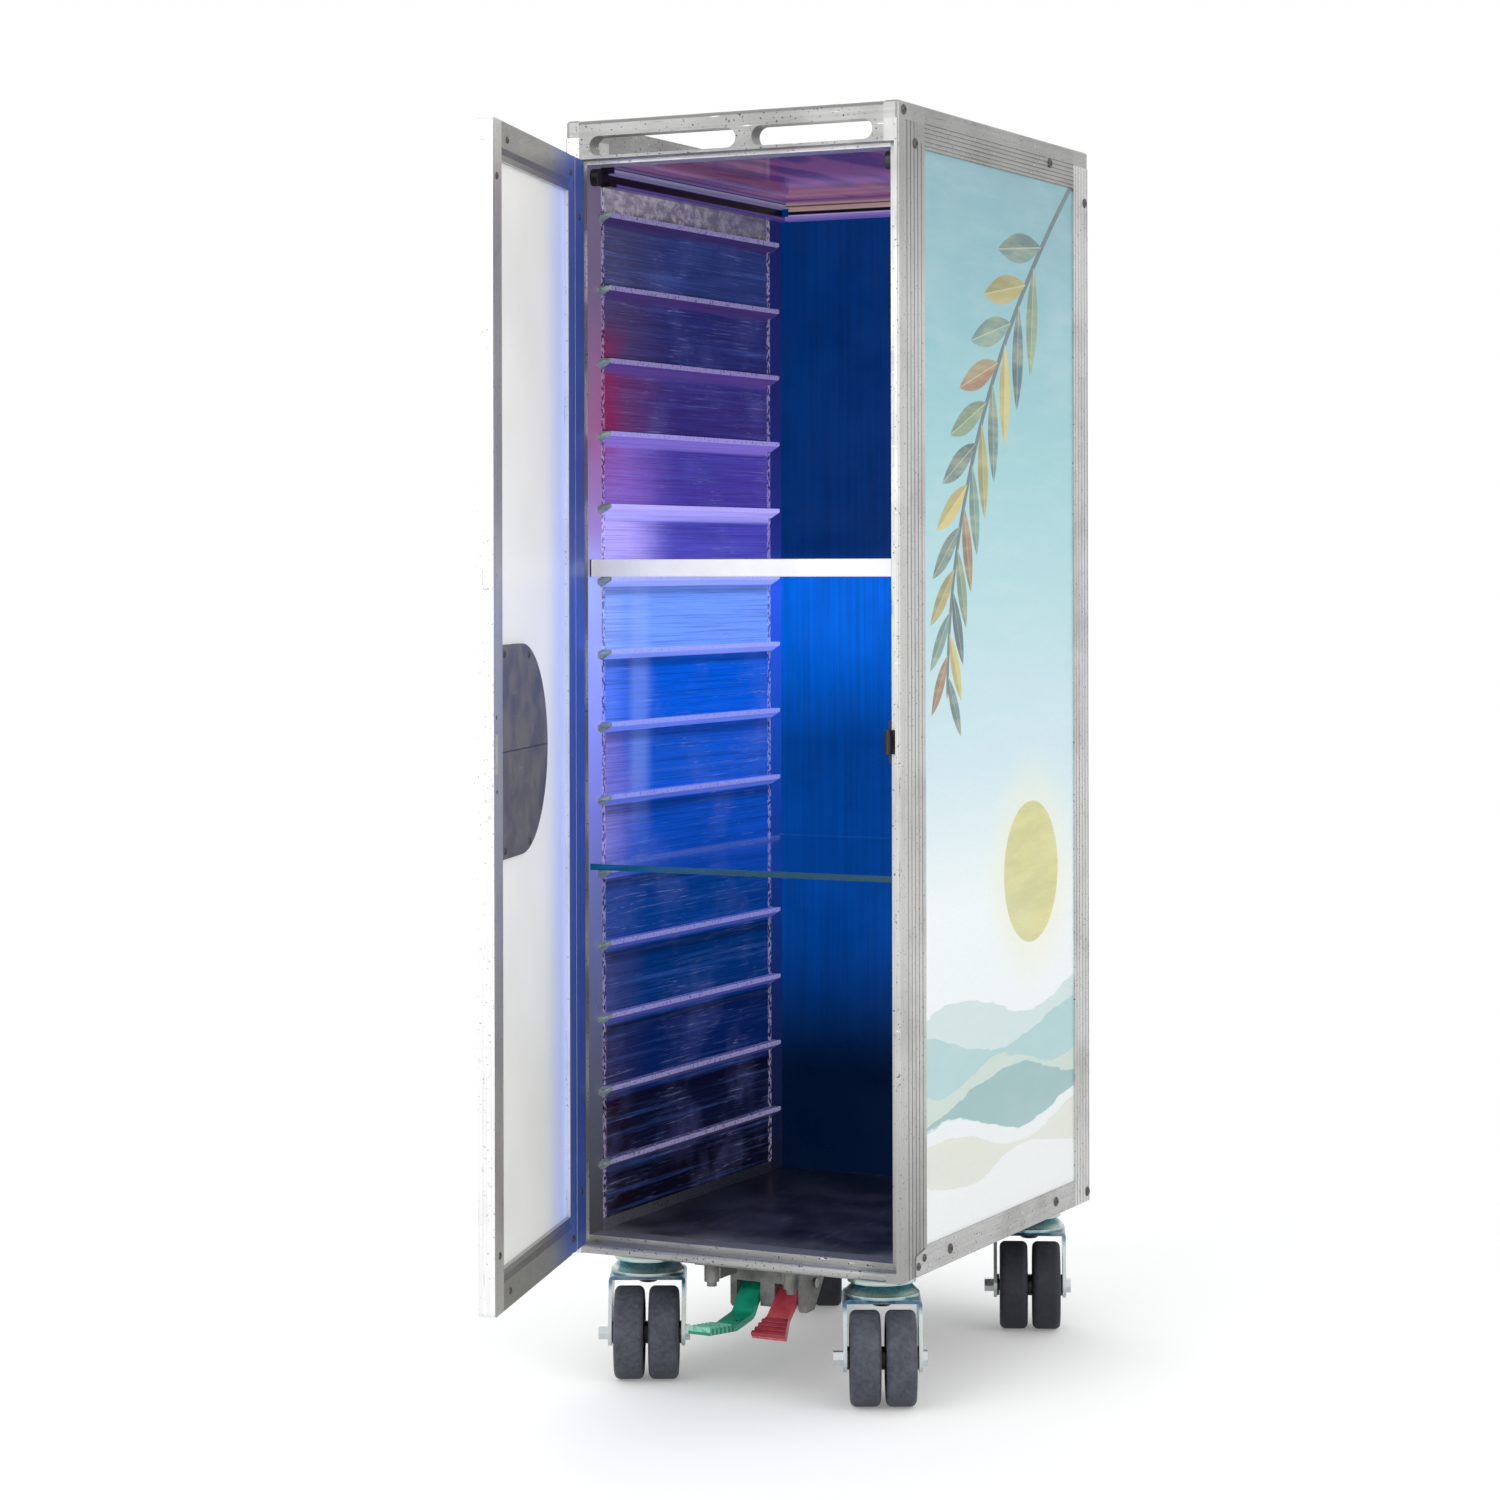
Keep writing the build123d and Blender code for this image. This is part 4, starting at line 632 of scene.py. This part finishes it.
sun = ease(tree, reach.outputs["Value"], 0.0606, 0.0594, 0.0, 0.92)
sun_shade = blend(tree, soft(tree, brush), ink(198, 196, 116), ink(222, 216, 140))
color = blend(tree, sun, color, sun_shade)
bands = (
    (0.292, 0.012, 21.0, 0.4, ink(206, 226, 226)),
    (0.268, 0.014, 17.0, 2.2, ink(170, 208, 210)),
    (0.240, 0.010, 26.0, 4.1, ink(205, 222, 212)),
    (0.222, 0.016, 15.0, 5.4, ink(146, 186, 188)),
    (0.196, 0.012, 19.0, 1.0, ink(244, 247, 248)),
    (0.184, 0.012, 19.0, 1.2, ink(226, 228, 216)),
    (0.160, 0.009, 24.0, 3.0, ink(242, 245, 247)),
)
for crest, swing, wave, shift, shade in bands:
    mask = painted_band(tree, spot, brush, crest, swing, wave, shift)
    color = blend(tree, product(tree, mask, 0.92), color, shade)
bough = (0.035, 0.56, 1.42)
rise = sum_up(tree, "SUBTRACT", spot[2], bough[1])
bow = sum_up(tree, "MULTIPLY_ADD", product(tree, rise, rise), bough[2], bough[0])
off = sum_up(tree, "ABSOLUTE", sum_up(tree, "SUBTRACT", spot[1], bow))
stalk = ease(tree, sum_up(tree, "MULTIPLY_ADD", rise, -0.006, off), 0.0030, 0.0018)
stalk = product(tree, stalk, ease(tree, spot[2], 0.556, 0.564))
color = blend(tree, product(tree, stalk, 0.9), color, ink(84, 100, 104))
leaf_shades = (
    ink(88, 124, 124), ink(214, 192, 98), ink(60, 92, 104), ink(126, 150, 116), ink(158, 104, 66),
    ink(104, 146, 138), ink(176, 160, 82),
)
for k in range(22):
    z = 0.938 - 0.0172 * k
    y = bough[0] + bough[2] * (z - bough[1]) ** 2
    down = math.atan2(-1.0, -2 * bough[2] * (z - bough[1]))
    turn = down + (0.72 if k % 2 else -0.66) * (1 - 0.012 * k)
    length = 0.098 - 0.0019 * k
    middle = (y + math.cos(turn) * length / 2, z + math.sin(turn) * length / 2)
    mask, beside = leaf(tree, place, middle, length, length * 0.27, turn)
    shade = leaf_shades[(3 * k) % 7]
    dark = [c * 0.66 for c in shade[:3]] + [1]
    tone = blend(tree, ease(tree, beside, -0.05, 0.05), dark, shade)
    rib = ease(tree, sum_up(tree, "ABSOLUTE", beside), 0.07, 0.02, 0.0, 0.5)
    tone = blend(tree, rib, tone, ink(214, 220, 176))
    tone = blend(tree, ease(tree, brush, 0.4, 0.7, 0, 0.35), tone, ink(222, 222, 170))
    color = blend(tree, product(tree, mask, 0.92), color, tone)
faded = ease(tree, speckle(tree, place, (5, 5, 9), 3.0), 0.45, 0.75, 0.0, 0.12)
color = blend(tree, faded, color, ink(236, 246, 248))
color = blend(tree, soft(tree, grain, 0.0, 0.07), color, ink(120, 140, 146))
shader.inputs["Coat Weight"].default_value = 0.15
feed(tree, shader, color, soft(tree, brush, 0.36, 0.5), grain, 0.00005, 0.25)
dress(film, "side_panel_left", "side_panel_right")

# Rear panel: the same laminate in a plain pale blue, held under the lips of the rear posts. It is
# scuffed by other carts and by walls.
plain, shader, tree, place = start_finish("plain_film", 0.0, 0.45)
clouds = speckle(tree, place, (7, 7, 9), 4.0)
scuffs = ease(tree, speckle(tree, place, (30, 30, 420), 2.0, (0, 0.3, 0)), 0.66, 0.74)
color = blend(tree, soft(tree, clouds), ink(190, 216, 222), ink(214, 232, 236))
color = blend(tree, product(tree, scuffs, 0.4), color, ink(150, 168, 174))
feed(tree, shader, color, soft(tree, clouds, 0.4, 0.55), scuffs, 0.00008, 0.3)
dress(plain, "rear_panel")


# Door: a light frame of four aluminium rails, paler than the cabinet, held together by hidden corner
# keys. Near the hinge the strip's blue light is painted on its inner face, in colour and as glow, and the
# inner faces are painted darker as shade.
def door_aluminium(name, along, tone):
    """Satin aluminium of the door, with the strip's light painted on the part near the hinge and painted
    shade on its inner faces.
    """
    made = drawn_aluminium(name, along, tone, 0.55, 0.55)
    shader, tree, place, base = reopen(made)
    spot = axes(tree, place)
    facing = facings(tree)
    inward = ease(tree, facing[0], 0.5, 0.9)
    # The strip's blue light is painted near the hinge, in colour and as glow.
    near = ease(tree, spot[1], -0.20, -0.085)
    light = product(tree, inward, near)
    # Painted shade: the inner faces take a darker, warmer copy of the colour.
    base = blend(tree, inward, base, (0.74, 0.72, 0.66, 1), "MULTIPLY")
    tree.links.new(blend(tree, light, base, ink(84, 108, 174)), shader.inputs["Base Color"])
    glow = blend(tree, light, (0, 0, 0, 1), ink(22, 44, 104))
    shine(tree, shader, glow, 0.5)
    return made


dress(door_aluminium("door_upright", 2, ink(244, 244, 244)), "door_stile_hinge", "door_stile_latch")
dress(door_aluminium("door_cross", 1, ink(186, 186, 184)), "door_rail_top", "door_rail_bottom")

# Door glazing: one sheet of frosted white acrylic, set into the frame under a bead. The strip's blue
# light is painted along its hinge side, and a painted glow is brightest at middle height.
frost, shader, tree, place = start_finish("frosted_white", 0.0, 0.4)
spot = axes(tree, place)
clouds = speckle(tree, place, (6, 6, 6), 3.0)
near = ease(tree, spot[1], -0.185, -0.10)
color = blend(tree, soft(tree, clouds), ink(224, 225, 220), ink(236, 237, 232))
# Painted blue light along the hinge side.
color = blend(tree, near, color, ink(182, 194, 232))
# A painted glow, brightest at middle height and bluer near the hinge.
off_middle = sum_up(tree, "ABSOLUTE", sum_up(tree, "SUBTRACT", spot[2], middle_height))
plain = blend(tree, ease(tree, off_middle, 0.12, 0.36), ink(138, 137, 130), ink(112, 111, 104))
shine(tree, shader, blend(tree, near, plain, ink(90, 108, 158)), 1.0)
feed(tree, shader, color, None, speckle(tree, place, (900, 900, 900)), 0.00005, 0.3)
dress(frost, "door_glazing")

# Latch: a dark grey moulded cup and cover, a steel lever that lies in the cup, its bolt and, on the
# post, a black keeper for the bolt.
grey, shader, tree, place = start_finish("grey_moulding", 0.0, 0.45)
stains = speckle(tree, place, (40, 40, 40), 4.0)
rubs = ease(tree, speckle(tree, place, (60, 60, 700), 2.0, (0.2, 0, 0)), 0.66, 0.72)
seam_height = 0.527
below_seam = sum_up(tree, "SUBTRACT", axes(tree, place)[2], seam_height)
color = blend(tree, soft(tree, stains), ink(98, 96, 88), ink(118, 116, 108))
color = blend(tree, product(tree, rubs, 0.4), color, ink(150, 150, 150))
crease = ease(tree, sum_up(tree, "ABSOLUTE", below_seam), 0.0007, 0.0003)
color = blend(tree, product(tree, crease, 0.8), color, ink(34, 33, 32))
grain = speckle(tree, place, (600, 600, 600))
feed(tree, shader, color, soft(tree, stains, 0.38, 0.55), grain, 0.00006, 0.4)
dress(grey, "latch_cup", "latch_cover")

steel, shader, tree, place = start_finish("satin_steel", 0.9, 0.3)
lines = speckle(tree, place, (500, 500, 30), 3.0)
stains = speckle(tree, place, (60, 60, 60), 3.0)
color = blend(tree, soft(tree, lines), ink(150, 150, 151), ink(188, 188, 189))
feed(tree, shader, color, soft(tree, stains, 0.24, 0.42), lines, 0.00008, 0.3)
dress(steel, "latch_lever", "latch_bolt", "hinge_leaf_door", "hinge_leaf_post", "hinge_pin", "brake_shaft")

black, shader, tree, place = start_finish("black_moulding", 0.0, 0.42)
stains = speckle(tree, place, (90, 90, 90), 4.0)
feed(tree, shader, blend(tree, stains, ink(14, 13, 15), ink(40, 39, 42)), None, stains, 0.0001, 0.3)
dress(black, "striker", "kingpins")


# Casters: pressed steel plates, races and forks, zinc plated and passivated. Bands of blue, teal and cream
# run round them, partly the plating's tint and partly painted reflections and highlights. Each fork carries
# its two wheels and a black sleeve on one bolt.
def zinc(name, sleeve=None):
    """Zinc plating with bands round the race, partly its tint and partly painted reflections and highlights;
    near the sleeve's middle it is black plastic.
    """
    made, shader, tree, place = start_finish(name, 0.85, 0.26)
    spot = axes(tree, place)
    clouds = speckle(tree, place, (50, 50, 50), 3.0)
    height = sum_up(tree, "MULTIPLY_ADD", clouds, 0.003, sum_up(tree, "SUBTRACT", spot[2], 0.0015))
    share = portion(tree, height, 0.060, 0.1035)
    # Bands of tint, painted dark reflections and pale highlights, by height.
    tints_and_reflections = (
        (0.0, ink(206, 214, 216)), (0.24, ink(204, 214, 218)), (0.32, ink(150, 184, 196)),
        (0.40, ink(20, 96, 140)), (0.48, ink(14, 84, 122)), (0.54, ink(140, 176, 182)),
        (0.60, ink(224, 226, 214)), (0.66, ink(84, 150, 164)), (0.74, ink(96, 156, 168)),
        (0.80, ink(200, 208, 198)), (0.86, ink(90, 160, 170)), (1.0, ink(84, 130, 140)),
    )
    tinted_and_mirrored = shades(tree, share, tints_and_reflections)
    color = blend(tree, ease(tree, clouds, 0.35, 0.65, 0.0, 0.3), tinted_and_mirrored, ink(214, 216, 210))
    rough = soft(tree, clouds, 0.20, 0.36)
    if sleeve:
        away = wire(tree, "ShaderNodeVectorMath", {"operation": "DISTANCE"}, {0: place, 1: sleeve})
        inner = ease(tree, away.outputs["Value"], 0.0312, 0.0306)
        color = blend(tree, inner, color, ink(12, 12, 13))
        tree.links.new(ease(tree, inner, 0.0, 1.0, 0.85, 0.0), shader.inputs["Metallic"])
    feed(tree, shader, color, rough, clouds, 0.0001, 0.2)
    return made


corners = ("front_left", "front_right", "rear_left", "rear_right")
dress(zinc("zinc_plate"), "caster_plates", *["fork_" + c for c in corners])
for corner in corners:
    pair = [point for hand in ("left", "right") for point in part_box("wheel_%s_%s" % (corner, hand))]
    middle = sum(pair, Vector()) / 4
    dress(zinc("zinc_bolt_" + corner, tuple(middle)), "axle_" + corner)


# Wheels: solid charcoal rubber moulded on a plastic disc, dusty on the tread and scuffed at the edges.
# The rear pairs take a darker copy of the rubber as painted shade.
def charcoal(name, deep, bright, dusty):
    """Moulded rubber between two tones under a little dust."""
    made, shader, tree, place = start_finish(name, 0.0, 0.72)
    mottle = speckle(tree, place, (260, 260, 260), 4.0)
    dust = ease(tree, speckle(tree, place, (60, 60, 60), 5.0), 0.45, 0.7)
    color = blend(tree, soft(tree, mottle), deep, bright)
    color = blend(tree, product(tree, dust, 0.3), color, dusty)
    feed(tree, shader, color, soft(tree, mottle, 0.62, 0.82), mottle, 0.0003, 0.5)
    return made


rubber = charcoal("charcoal_rubber", ink(54, 57, 66), ink(78, 82, 92), ink(100, 103, 110))
dress(rubber, *["wheel_%s_%s" % (c, hand) for c in corners[:2] for hand in ("left", "right")])
# A darker copy of the rubber, painted as shade, for the rear wheels.
shaded_rubber = charcoal("shaded_rubber", ink(28, 30, 35), ink(46, 49, 56), ink(66, 69, 76))
dress(shaded_rubber, *["wheel_%s_%s" % (c, hand) for c in corners[2:] for hand in ("left", "right")])

# Brake: a rough cast aluminium housing bolted under the floor, with a turned shaft that carries the
# two pedals. Both pedals are ribbed mouldings; the paint on their treads is worn pale.
cast, shader, tree, place = start_finish("cast_grey", 0.5, 0.55)
sand = speckle(tree, place, (420, 420, 420), 3.0)
stains = speckle(tree, place, (45, 45, 45), 4.0)
color = blend(tree, soft(tree, stains), ink(112, 112, 110), ink(158, 158, 155))
feed(tree, shader, color, soft(tree, sand, 0.45, 0.65), sand, 0.0005, 0.6)
dress(cast, "brake_housing")


def pedal_paint(name, deep, bright, worn, tip, pitch, ribs):
    """Glossy pedal plastic: the grooves between the ribs of its tread take painted shade, and the ribs are
    rubbed pale on their edges.
    """
    made, shader, tree, place = start_finish(name, 0.0, 0.34)
    spot = axes(tree, place)
    clouds = speckle(tree, place, (60, 60, 60), 4.0)
    chips = speckle(tree, place, (240, 240, 240), 3.0)
    color = blend(tree, soft(tree, clouds), deep, bright)
    along = sum_up(tree, "DIVIDE", sum_up(tree, "SUBTRACT", spot[1], tip), pitch)
    tread = ease(tree, along, ribs + 0.1, ribs - 0.1)
    near_rib = sum_up(tree, "ABSOLUTE", sum_up(tree, "SUBTRACT", sum_up(tree, "FRACT", along), 0.2))
    # Painted shade in the grooves between the ribs.
    groove_shade = product(tree, tread, ease(tree, near_rib, 0.22, 0.30, 0.0, 0.55))
    color = blend(tree, groove_shade, color, [c * 0.25 for c in deep[:3]] + [1])
    edge = product(tree, ease(tree, near_rib, 0.09, 0.15), ease(tree, near_rib, 0.25, 0.20))
    edge = product(tree, edge, ease(tree, chips, 0.36, 0.52, 0.15, 0.9))
    color = blend(tree, product(tree, edge, tread), color, worn)
    feed(tree, shader, color, soft(tree, clouds, 0.26, 0.46), chips, 0.0002, 0.3)
    return made


greens = (ink(8, 158, 124), ink(26, 190, 150), ink(150, 208, 188))
dress(pedal_paint("green_paint", *greens, -0.0824, 0.00695, 6), "pedal_green")
reds = (ink(206, 66, 84), ink(230, 98, 114), ink(244, 206, 206))
dress(pedal_paint("red_paint", *reds, -0.0274, 0.00383, 4), "pedal_red")


# Screws: dark steel screws with shallow domed heads and a cross recess hold caps, rails, brackets, the
# door's corner keys and the latch cover. One head is modelled and set at each place, turned at random.
def placed(name, data):
    """A new object in the scene that holds the mesh."""
    made = bpy.data.objects.new(name, data)
    scene.collection.objects.link(made)
    return made


def plain_mesh(name, draft):
    """Turns a draft into a mesh, with its faces outwards."""
    bmesh.ops.recalc_face_normals(draft, faces=draft.faces)
    mesh = bpy.data.meshes.new(name)
    draft.to_mesh(mesh)
    draft.free()
    return mesh


def settled(thing):
    """The mesh of an object once its modifiers have done their work."""
    bpy.context.view_layer.update()
    return bpy.data.meshes.new_from_object(thing.evaluated_get(bpy.context.evaluated_depsgraph_get()))


def turned_mesh(name, profile, sides):
    """A closed turned shape; its profile is pairs of a radius and a height, and ends at radius nought."""
    draft = bmesh.new()
    last = None
    for radius, z in profile:
        spots = [(0, 0, z)]
        if radius:
            turns = [2 * math.pi * a / sides for a in range(sides)]
            spots = [(radius * math.cos(turn), radius * math.sin(turn), z) for turn in turns]
        ring = [draft.verts.new(spot) for spot in spots]
        if last is None:
            draft.faces.new(ring)
        else:
            for a in range(sides):
                b = (a + 1) % sides
                far = ring if len(ring) == 1 else (ring[b], ring[a])
                draft.faces.new((last[a], last[b], *far))
        last = ring
    return plain_mesh(name, draft)


def add_slab(draft, near, far):
    """Adds a closed solid between two like outlines."""
    near = [draft.verts.new(point) for point in near]
    far = [draft.verts.new(point) for point in far]
    draft.faces.new(near)
    draft.faces.new(far[::-1])
    for a in range(len(near)):
        b = (a + 1) % len(near)
        draft.faces.new((near[a], near[b], far[b], far[a]))


def screw_head():
    """A shallow domed head with a cross recess, standing on z = 0, a unit wide."""
    rings = ((0.5, -0.12), (0.5, 0.06), (0.46, 0.13), (0.36, 0.19), (0.2, 0.23), (0.0, 0.245))
    solid = placed("screw_head", turned_mesh("screw_head", rings, 24))
    blades = bmesh.new()
    for turn in (0, math.pi / 2):
        corner = [(-0.29, -0.055, 0.4), (0.29, -0.055, 0.4), (0.29, 0.055, 0.4), (-0.29, 0.055, 0.4)]
        foot = [(-0.16, -0.04, 0.06), (0.16, -0.04, 0.06), (0.16, 0.04, 0.06), (-0.16, 0.04, 0.06)]
        turned = Matrix.Rotation(turn, 3, "Z")
        add_slab(blades, [turned @ Vector(c) for c in corner], [turned @ Vector(c) for c in foot])
    cutter = placed("cross_blades", plain_mesh("cross_blades", blades))
    cut = solid.modifiers.new("recess", "BOOLEAN")
    cut.operation = "DIFFERENCE"
    cut.solver = "EXACT"
    cut.use_self = True
    cut.object = cutter
    pattern = placed("head_pattern", settled(solid))
    bpy.data.objects.remove(cutter)
    bpy.data.objects.remove(solid)
    pattern.hide_render = True
    return pattern


def setting_tree(name):
    """A tree that sets a pattern piece on marks: it stands on each mark's face, sized and spun."""
    tree = bpy.data.node_groups.new(name, "GeometryNodeTree")
    face = tree.interface
    inputs = {"Marks": "Geometry", "Pattern": "Object", "Width": "Float", "Most turn": "Float"}
    inputs |= {"Seed": "Int", "Finish": "Material"}
    for socket, kind in inputs.items():
        face.new_socket(socket, in_out="INPUT", socket_type="NodeSocket" + kind)
    face.new_socket("Set pieces", in_out="OUTPUT", socket_type="NodeSocketGeometry")
    start = tree.nodes.new("NodeGroupInput").outputs
    end = tree.nodes.new("NodeGroupOutput").inputs
    named = {"data_type": "FLOAT_VECTOR"}
    facing = wire(tree, "GeometryNodeInputNamedAttribute", named, {"Name": "facing"})
    stand = wire(tree, "FunctionNodeAlignRotationToVector", {"axis": "Z"}, {"Vector": facing.outputs[0]})
    chance = {3: start["Most turn"], "Seed": start["Seed"]}
    spin = wire(tree, "FunctionNodeRandomValue", {"data_type": "FLOAT"}, chance)
    about = wire(tree, "ShaderNodeCombineXYZ", None, {2: spin.outputs[1]})
    spun = wire(tree, "FunctionNodeRotateRotation", {"rotation_space": "LOCAL"}, {0: stand.outputs[0]})
    turn = wire(tree, "FunctionNodeEulerToRotation", None, {0: about.outputs[0]})
    tree.links.new(turn.outputs[0], spun.inputs[1])
    width = start["Width"]
    size = wire(tree, "ShaderNodeCombineXYZ", None, {0: width, 1: width, 2: width})
    shape = wire(tree, "GeometryNodeObjectInfo", None, {"Object": start["Pattern"]})
    plugs = {
        "Points": start["Marks"],
        "Instance": shape.outputs["Geometry"],
        "Rotation": spun.outputs[0],
        "Scale": size.outputs[0],
    }
    sown = wire(tree, "GeometryNodeInstanceOnPoints", None, plugs)
    whole = wire(tree, "GeometryNodeRealizeInstances", None, {0: sown.outputs[0]})
    painted = wire(tree, "GeometryNodeSetMaterial", None, {0: whole.outputs[0], "Material": start["Finish"]})
    tree.links.new(painted.outputs[0], end[0])
    return tree


def set_pieces(name, pattern, marks, width, seed, body):
    """Sets a pattern at marks, pairs of a place and the way it faces, and makes one plain mesh of them."""
    mesh = bpy.data.meshes.new(name + "_marks")
    mesh.from_pydata([m[0] for m in marks], [], [])
    facing = mesh.attributes.new("facing", "FLOAT_VECTOR", "POINT")
    for k, mark in enumerate(marks):
        facing.data[k].vector = mark[1]
    holder = placed(name + "_marks", mesh)
    maker = holder.modifiers.new("set", "NODES")
    maker.node_group = setter
    values = {"Pattern": pattern, "Width": width, "Most turn": full_turn, "Seed": seed, "Finish": dark_steel}
    for socket in setter.interface.items_tree:
        if socket.in_out == "INPUT" and socket.name in values:
            maker[socket.identifier] = values[socket.name]
    made = settled(holder)
    bpy.data.objects.remove(holder)
    piece = placed(name, made)
    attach(piece, body)


def from_front(y):
    """Metres in the frame's own depth, from millimetres behind the front of the cabinet."""
    return (y - 61.377) / 1000


dark_steel, shader, tree, place = start_finish("dark_screw_steel", 0.8, 0.4)
stains = speckle(tree, place, (500, 500, 500), 3.0)
feed(tree, shader, blend(tree, stains, ink(34, 33, 32), ink(118, 117, 115)), None, stains, 0.0001, 0.3)

full_turn = 6.28
head = screw_head()
setter = setting_tree("set_on_marks")
side_marks = (
    (9.7, 1023.0), (31.7, 998.6), (315.0, 1012.0), (396.0, 985.0),
    (96.0, 115.0), (324.0, 115.0), (398.0, 112.0),
)
left_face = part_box("bottom_rails")[0].x
right_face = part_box("bottom_rails")[1].x
marks = []
for side in (-1, 1):
    for y, z in side_marks:
        seat = right_face - 0.0003 if side > 0 else left_face + 0.00185
        marks.append(((seat, from_front(y), z / 1000), (side, 0, 0)))
for x in (-0.131, 0.131):
    for z in (0.125, 0.35, 0.66, 0.985):
        marks.append(((centre + x, 0.3415, z), (0, 1, 0)))
set_pieces("frame_screws", head, marks, 0.0084, 3, "cabinet")

along = Vector((0.27965, -0.96010, 0))
inward = Vector((0.96010, 0.27965, 0))
pivot = Vector((-0.152271, -0.064277, 0))
barrel_gap = 3.7
door_scale = 1.0137
inner_face = 15.9


def on_door(u, z, proud=0.0):
    """A place on the door's inner face, u along it from the hinge and z up, in millimetres."""
    reach = barrel_gap + door_scale * u
    return pivot + along * (reach / 1000) + inward * ((inner_face + proud) / 1000) + Vector((0, 0, z / 1000))


key_screws = ((243, 984), (274, 954), (46.5, 982), (17, 949), (271, 156), (241, 124), (42, 124), (16, 158))
marks = [(on_door(u, z), inward) for u, z in key_screws]
set_pieces("door_screws", head, marks, 0.0055, 5, "door")
cover_screws = ((251, 600), (179, 598), (250, 453), (177, 455))
marks = [(on_door(u, z, -1.0), inward) for u, z in cover_screws]
set_pieces("cover_screws", head, marks, 0.0052, 8, "door")
stile_screws = ((275.6, 499), (276.5, 554))
marks = [(on_door(u, z, -0.85), inward) for u, z in stile_screws]
set_pieces("stile_screws", head, marks, 0.0045, 9, "door")

# Bottom corner brackets: thin aluminium plates bent over the foot of each front post, each held by two
# screws, where the bottom rail meets the post.
plate = bmesh.new()
for side in (-1, 1):
    face_x = right_face if side > 0 else left_face + 0.0007
    corners_yz = ((27.0, 104.0), (49.4, 104.0), (49.4, 122.5), (47.0, 124.2), (29.0, 121.0), (27.0, 119.0))
    inner = [(face_x, from_front(y), z / 1000) for y, z in corners_yz]
    outer = [(face_x + side * 0.0009, y, z) for _, y, z in inner]
    add_slab(plate, inner, outer)
bmesh.ops.recalc_face_normals(plate, faces=plate.faces)
bmesh.ops.bevel(plate, geom=plate.edges[:], offset=0.0003, segments=2, affect="EDGES")
plate_mesh = plain_mesh("foot_brackets", plate)
plate_mesh.materials.append(drawn_aluminium("bracket_aluminium", 1, ink(186, 186, 185), 0.7, 1.0))
foot_brackets = placed("foot_brackets", plate_mesh)
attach(foot_brackets, "cabinet")
marks = []
for side in (-1, 1):
    seat = right_face + 0.0008 if side > 0 else left_face + 0.0012
    for y, z in ((31.5, 112.0), (43.0, 117.0)):
        marks.append(((seat, from_front(y), z / 1000), (side, 0, 0)))
set_pieces("bracket_screws", head, marks, 0.0064, 11, "cabinet")


# Bolt ends: the steel bolts that hold the caster plates come down through the floor rails, and their
# threaded ends stand out below, at the corners of each plate.
def threaded_end():
    """The end of a bolt, a unit wide: a run of thread ridges closed by a small chamfer."""
    profile = [(0.5, 0.25)]
    for k in range(5):
        profile += [(0.5, -0.15 * k), (0.43, -0.15 * k - 0.075)]
    profile += [(0.5, -0.75), (0.36, -0.95), (0.0, -0.95)]
    pattern = placed("thread_pattern", turned_mesh("threaded_end", profile, 12))
    pattern.hide_render = True
    return pattern


thread = threaded_end()
marks = []
for x in (-0.1065, 0.1065):
    for y, reach in ((58.0, 0.036), (369.0, 0.027)):
        for dx, dy in ((-0.034, -reach), (0.034, -reach), (-0.034, reach), (0.034, reach)):
            marks.append(((centre + x + dx, from_front(y) + dy, 0.1035), (0, 0, 1)))
set_pieces("bolt_ends", thread, marks, 0.0042, 14, "cabinet")

# Rail ends: black moulded stops with a round nose, pushed on the front ends of the slide rails just
# behind the top corners of the opening.
nose_y = 21.0
nose_z = 985.5
stop_half_depth = 4.0
stop_half_height = 7.0
stops = bmesh.new()
for side in (-1, 1):
    wall_x = centre + side * 0.137
    outline = []
    for k in range(9):
        a = math.pi / 2 + k * math.pi / 8
        outline.append((nose_y + stop_half_depth * math.cos(a), nose_z + stop_half_height * math.sin(a)))
    outline += [(nose_y + stop_half_depth, nose_z - stop_half_height)]
    outline += [(nose_y + stop_half_depth, nose_z + stop_half_height)]
    near_ring = [(wall_x, from_front(y), z / 1000) for y, z in outline]
    far_ring = [(wall_x - side * 0.0075, y, z) for _, y, z in near_ring]
    add_slab(stops, near_ring, far_ring)
stops_mesh = plain_mesh("rail_stops", stops)
stops_mesh.materials.append(black)
rail_stops = placed("rail_stops", stops_mesh)
rounding = rail_stops.modifiers.new("rounding", "BEVEL")
rounding.width = 0.0008
rounding.segments = 2
rounding.limit_method = "ANGLE"
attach(rail_stops, "cabinet")

bpy.data.objects.remove(head)
bpy.data.objects.remove(thread)
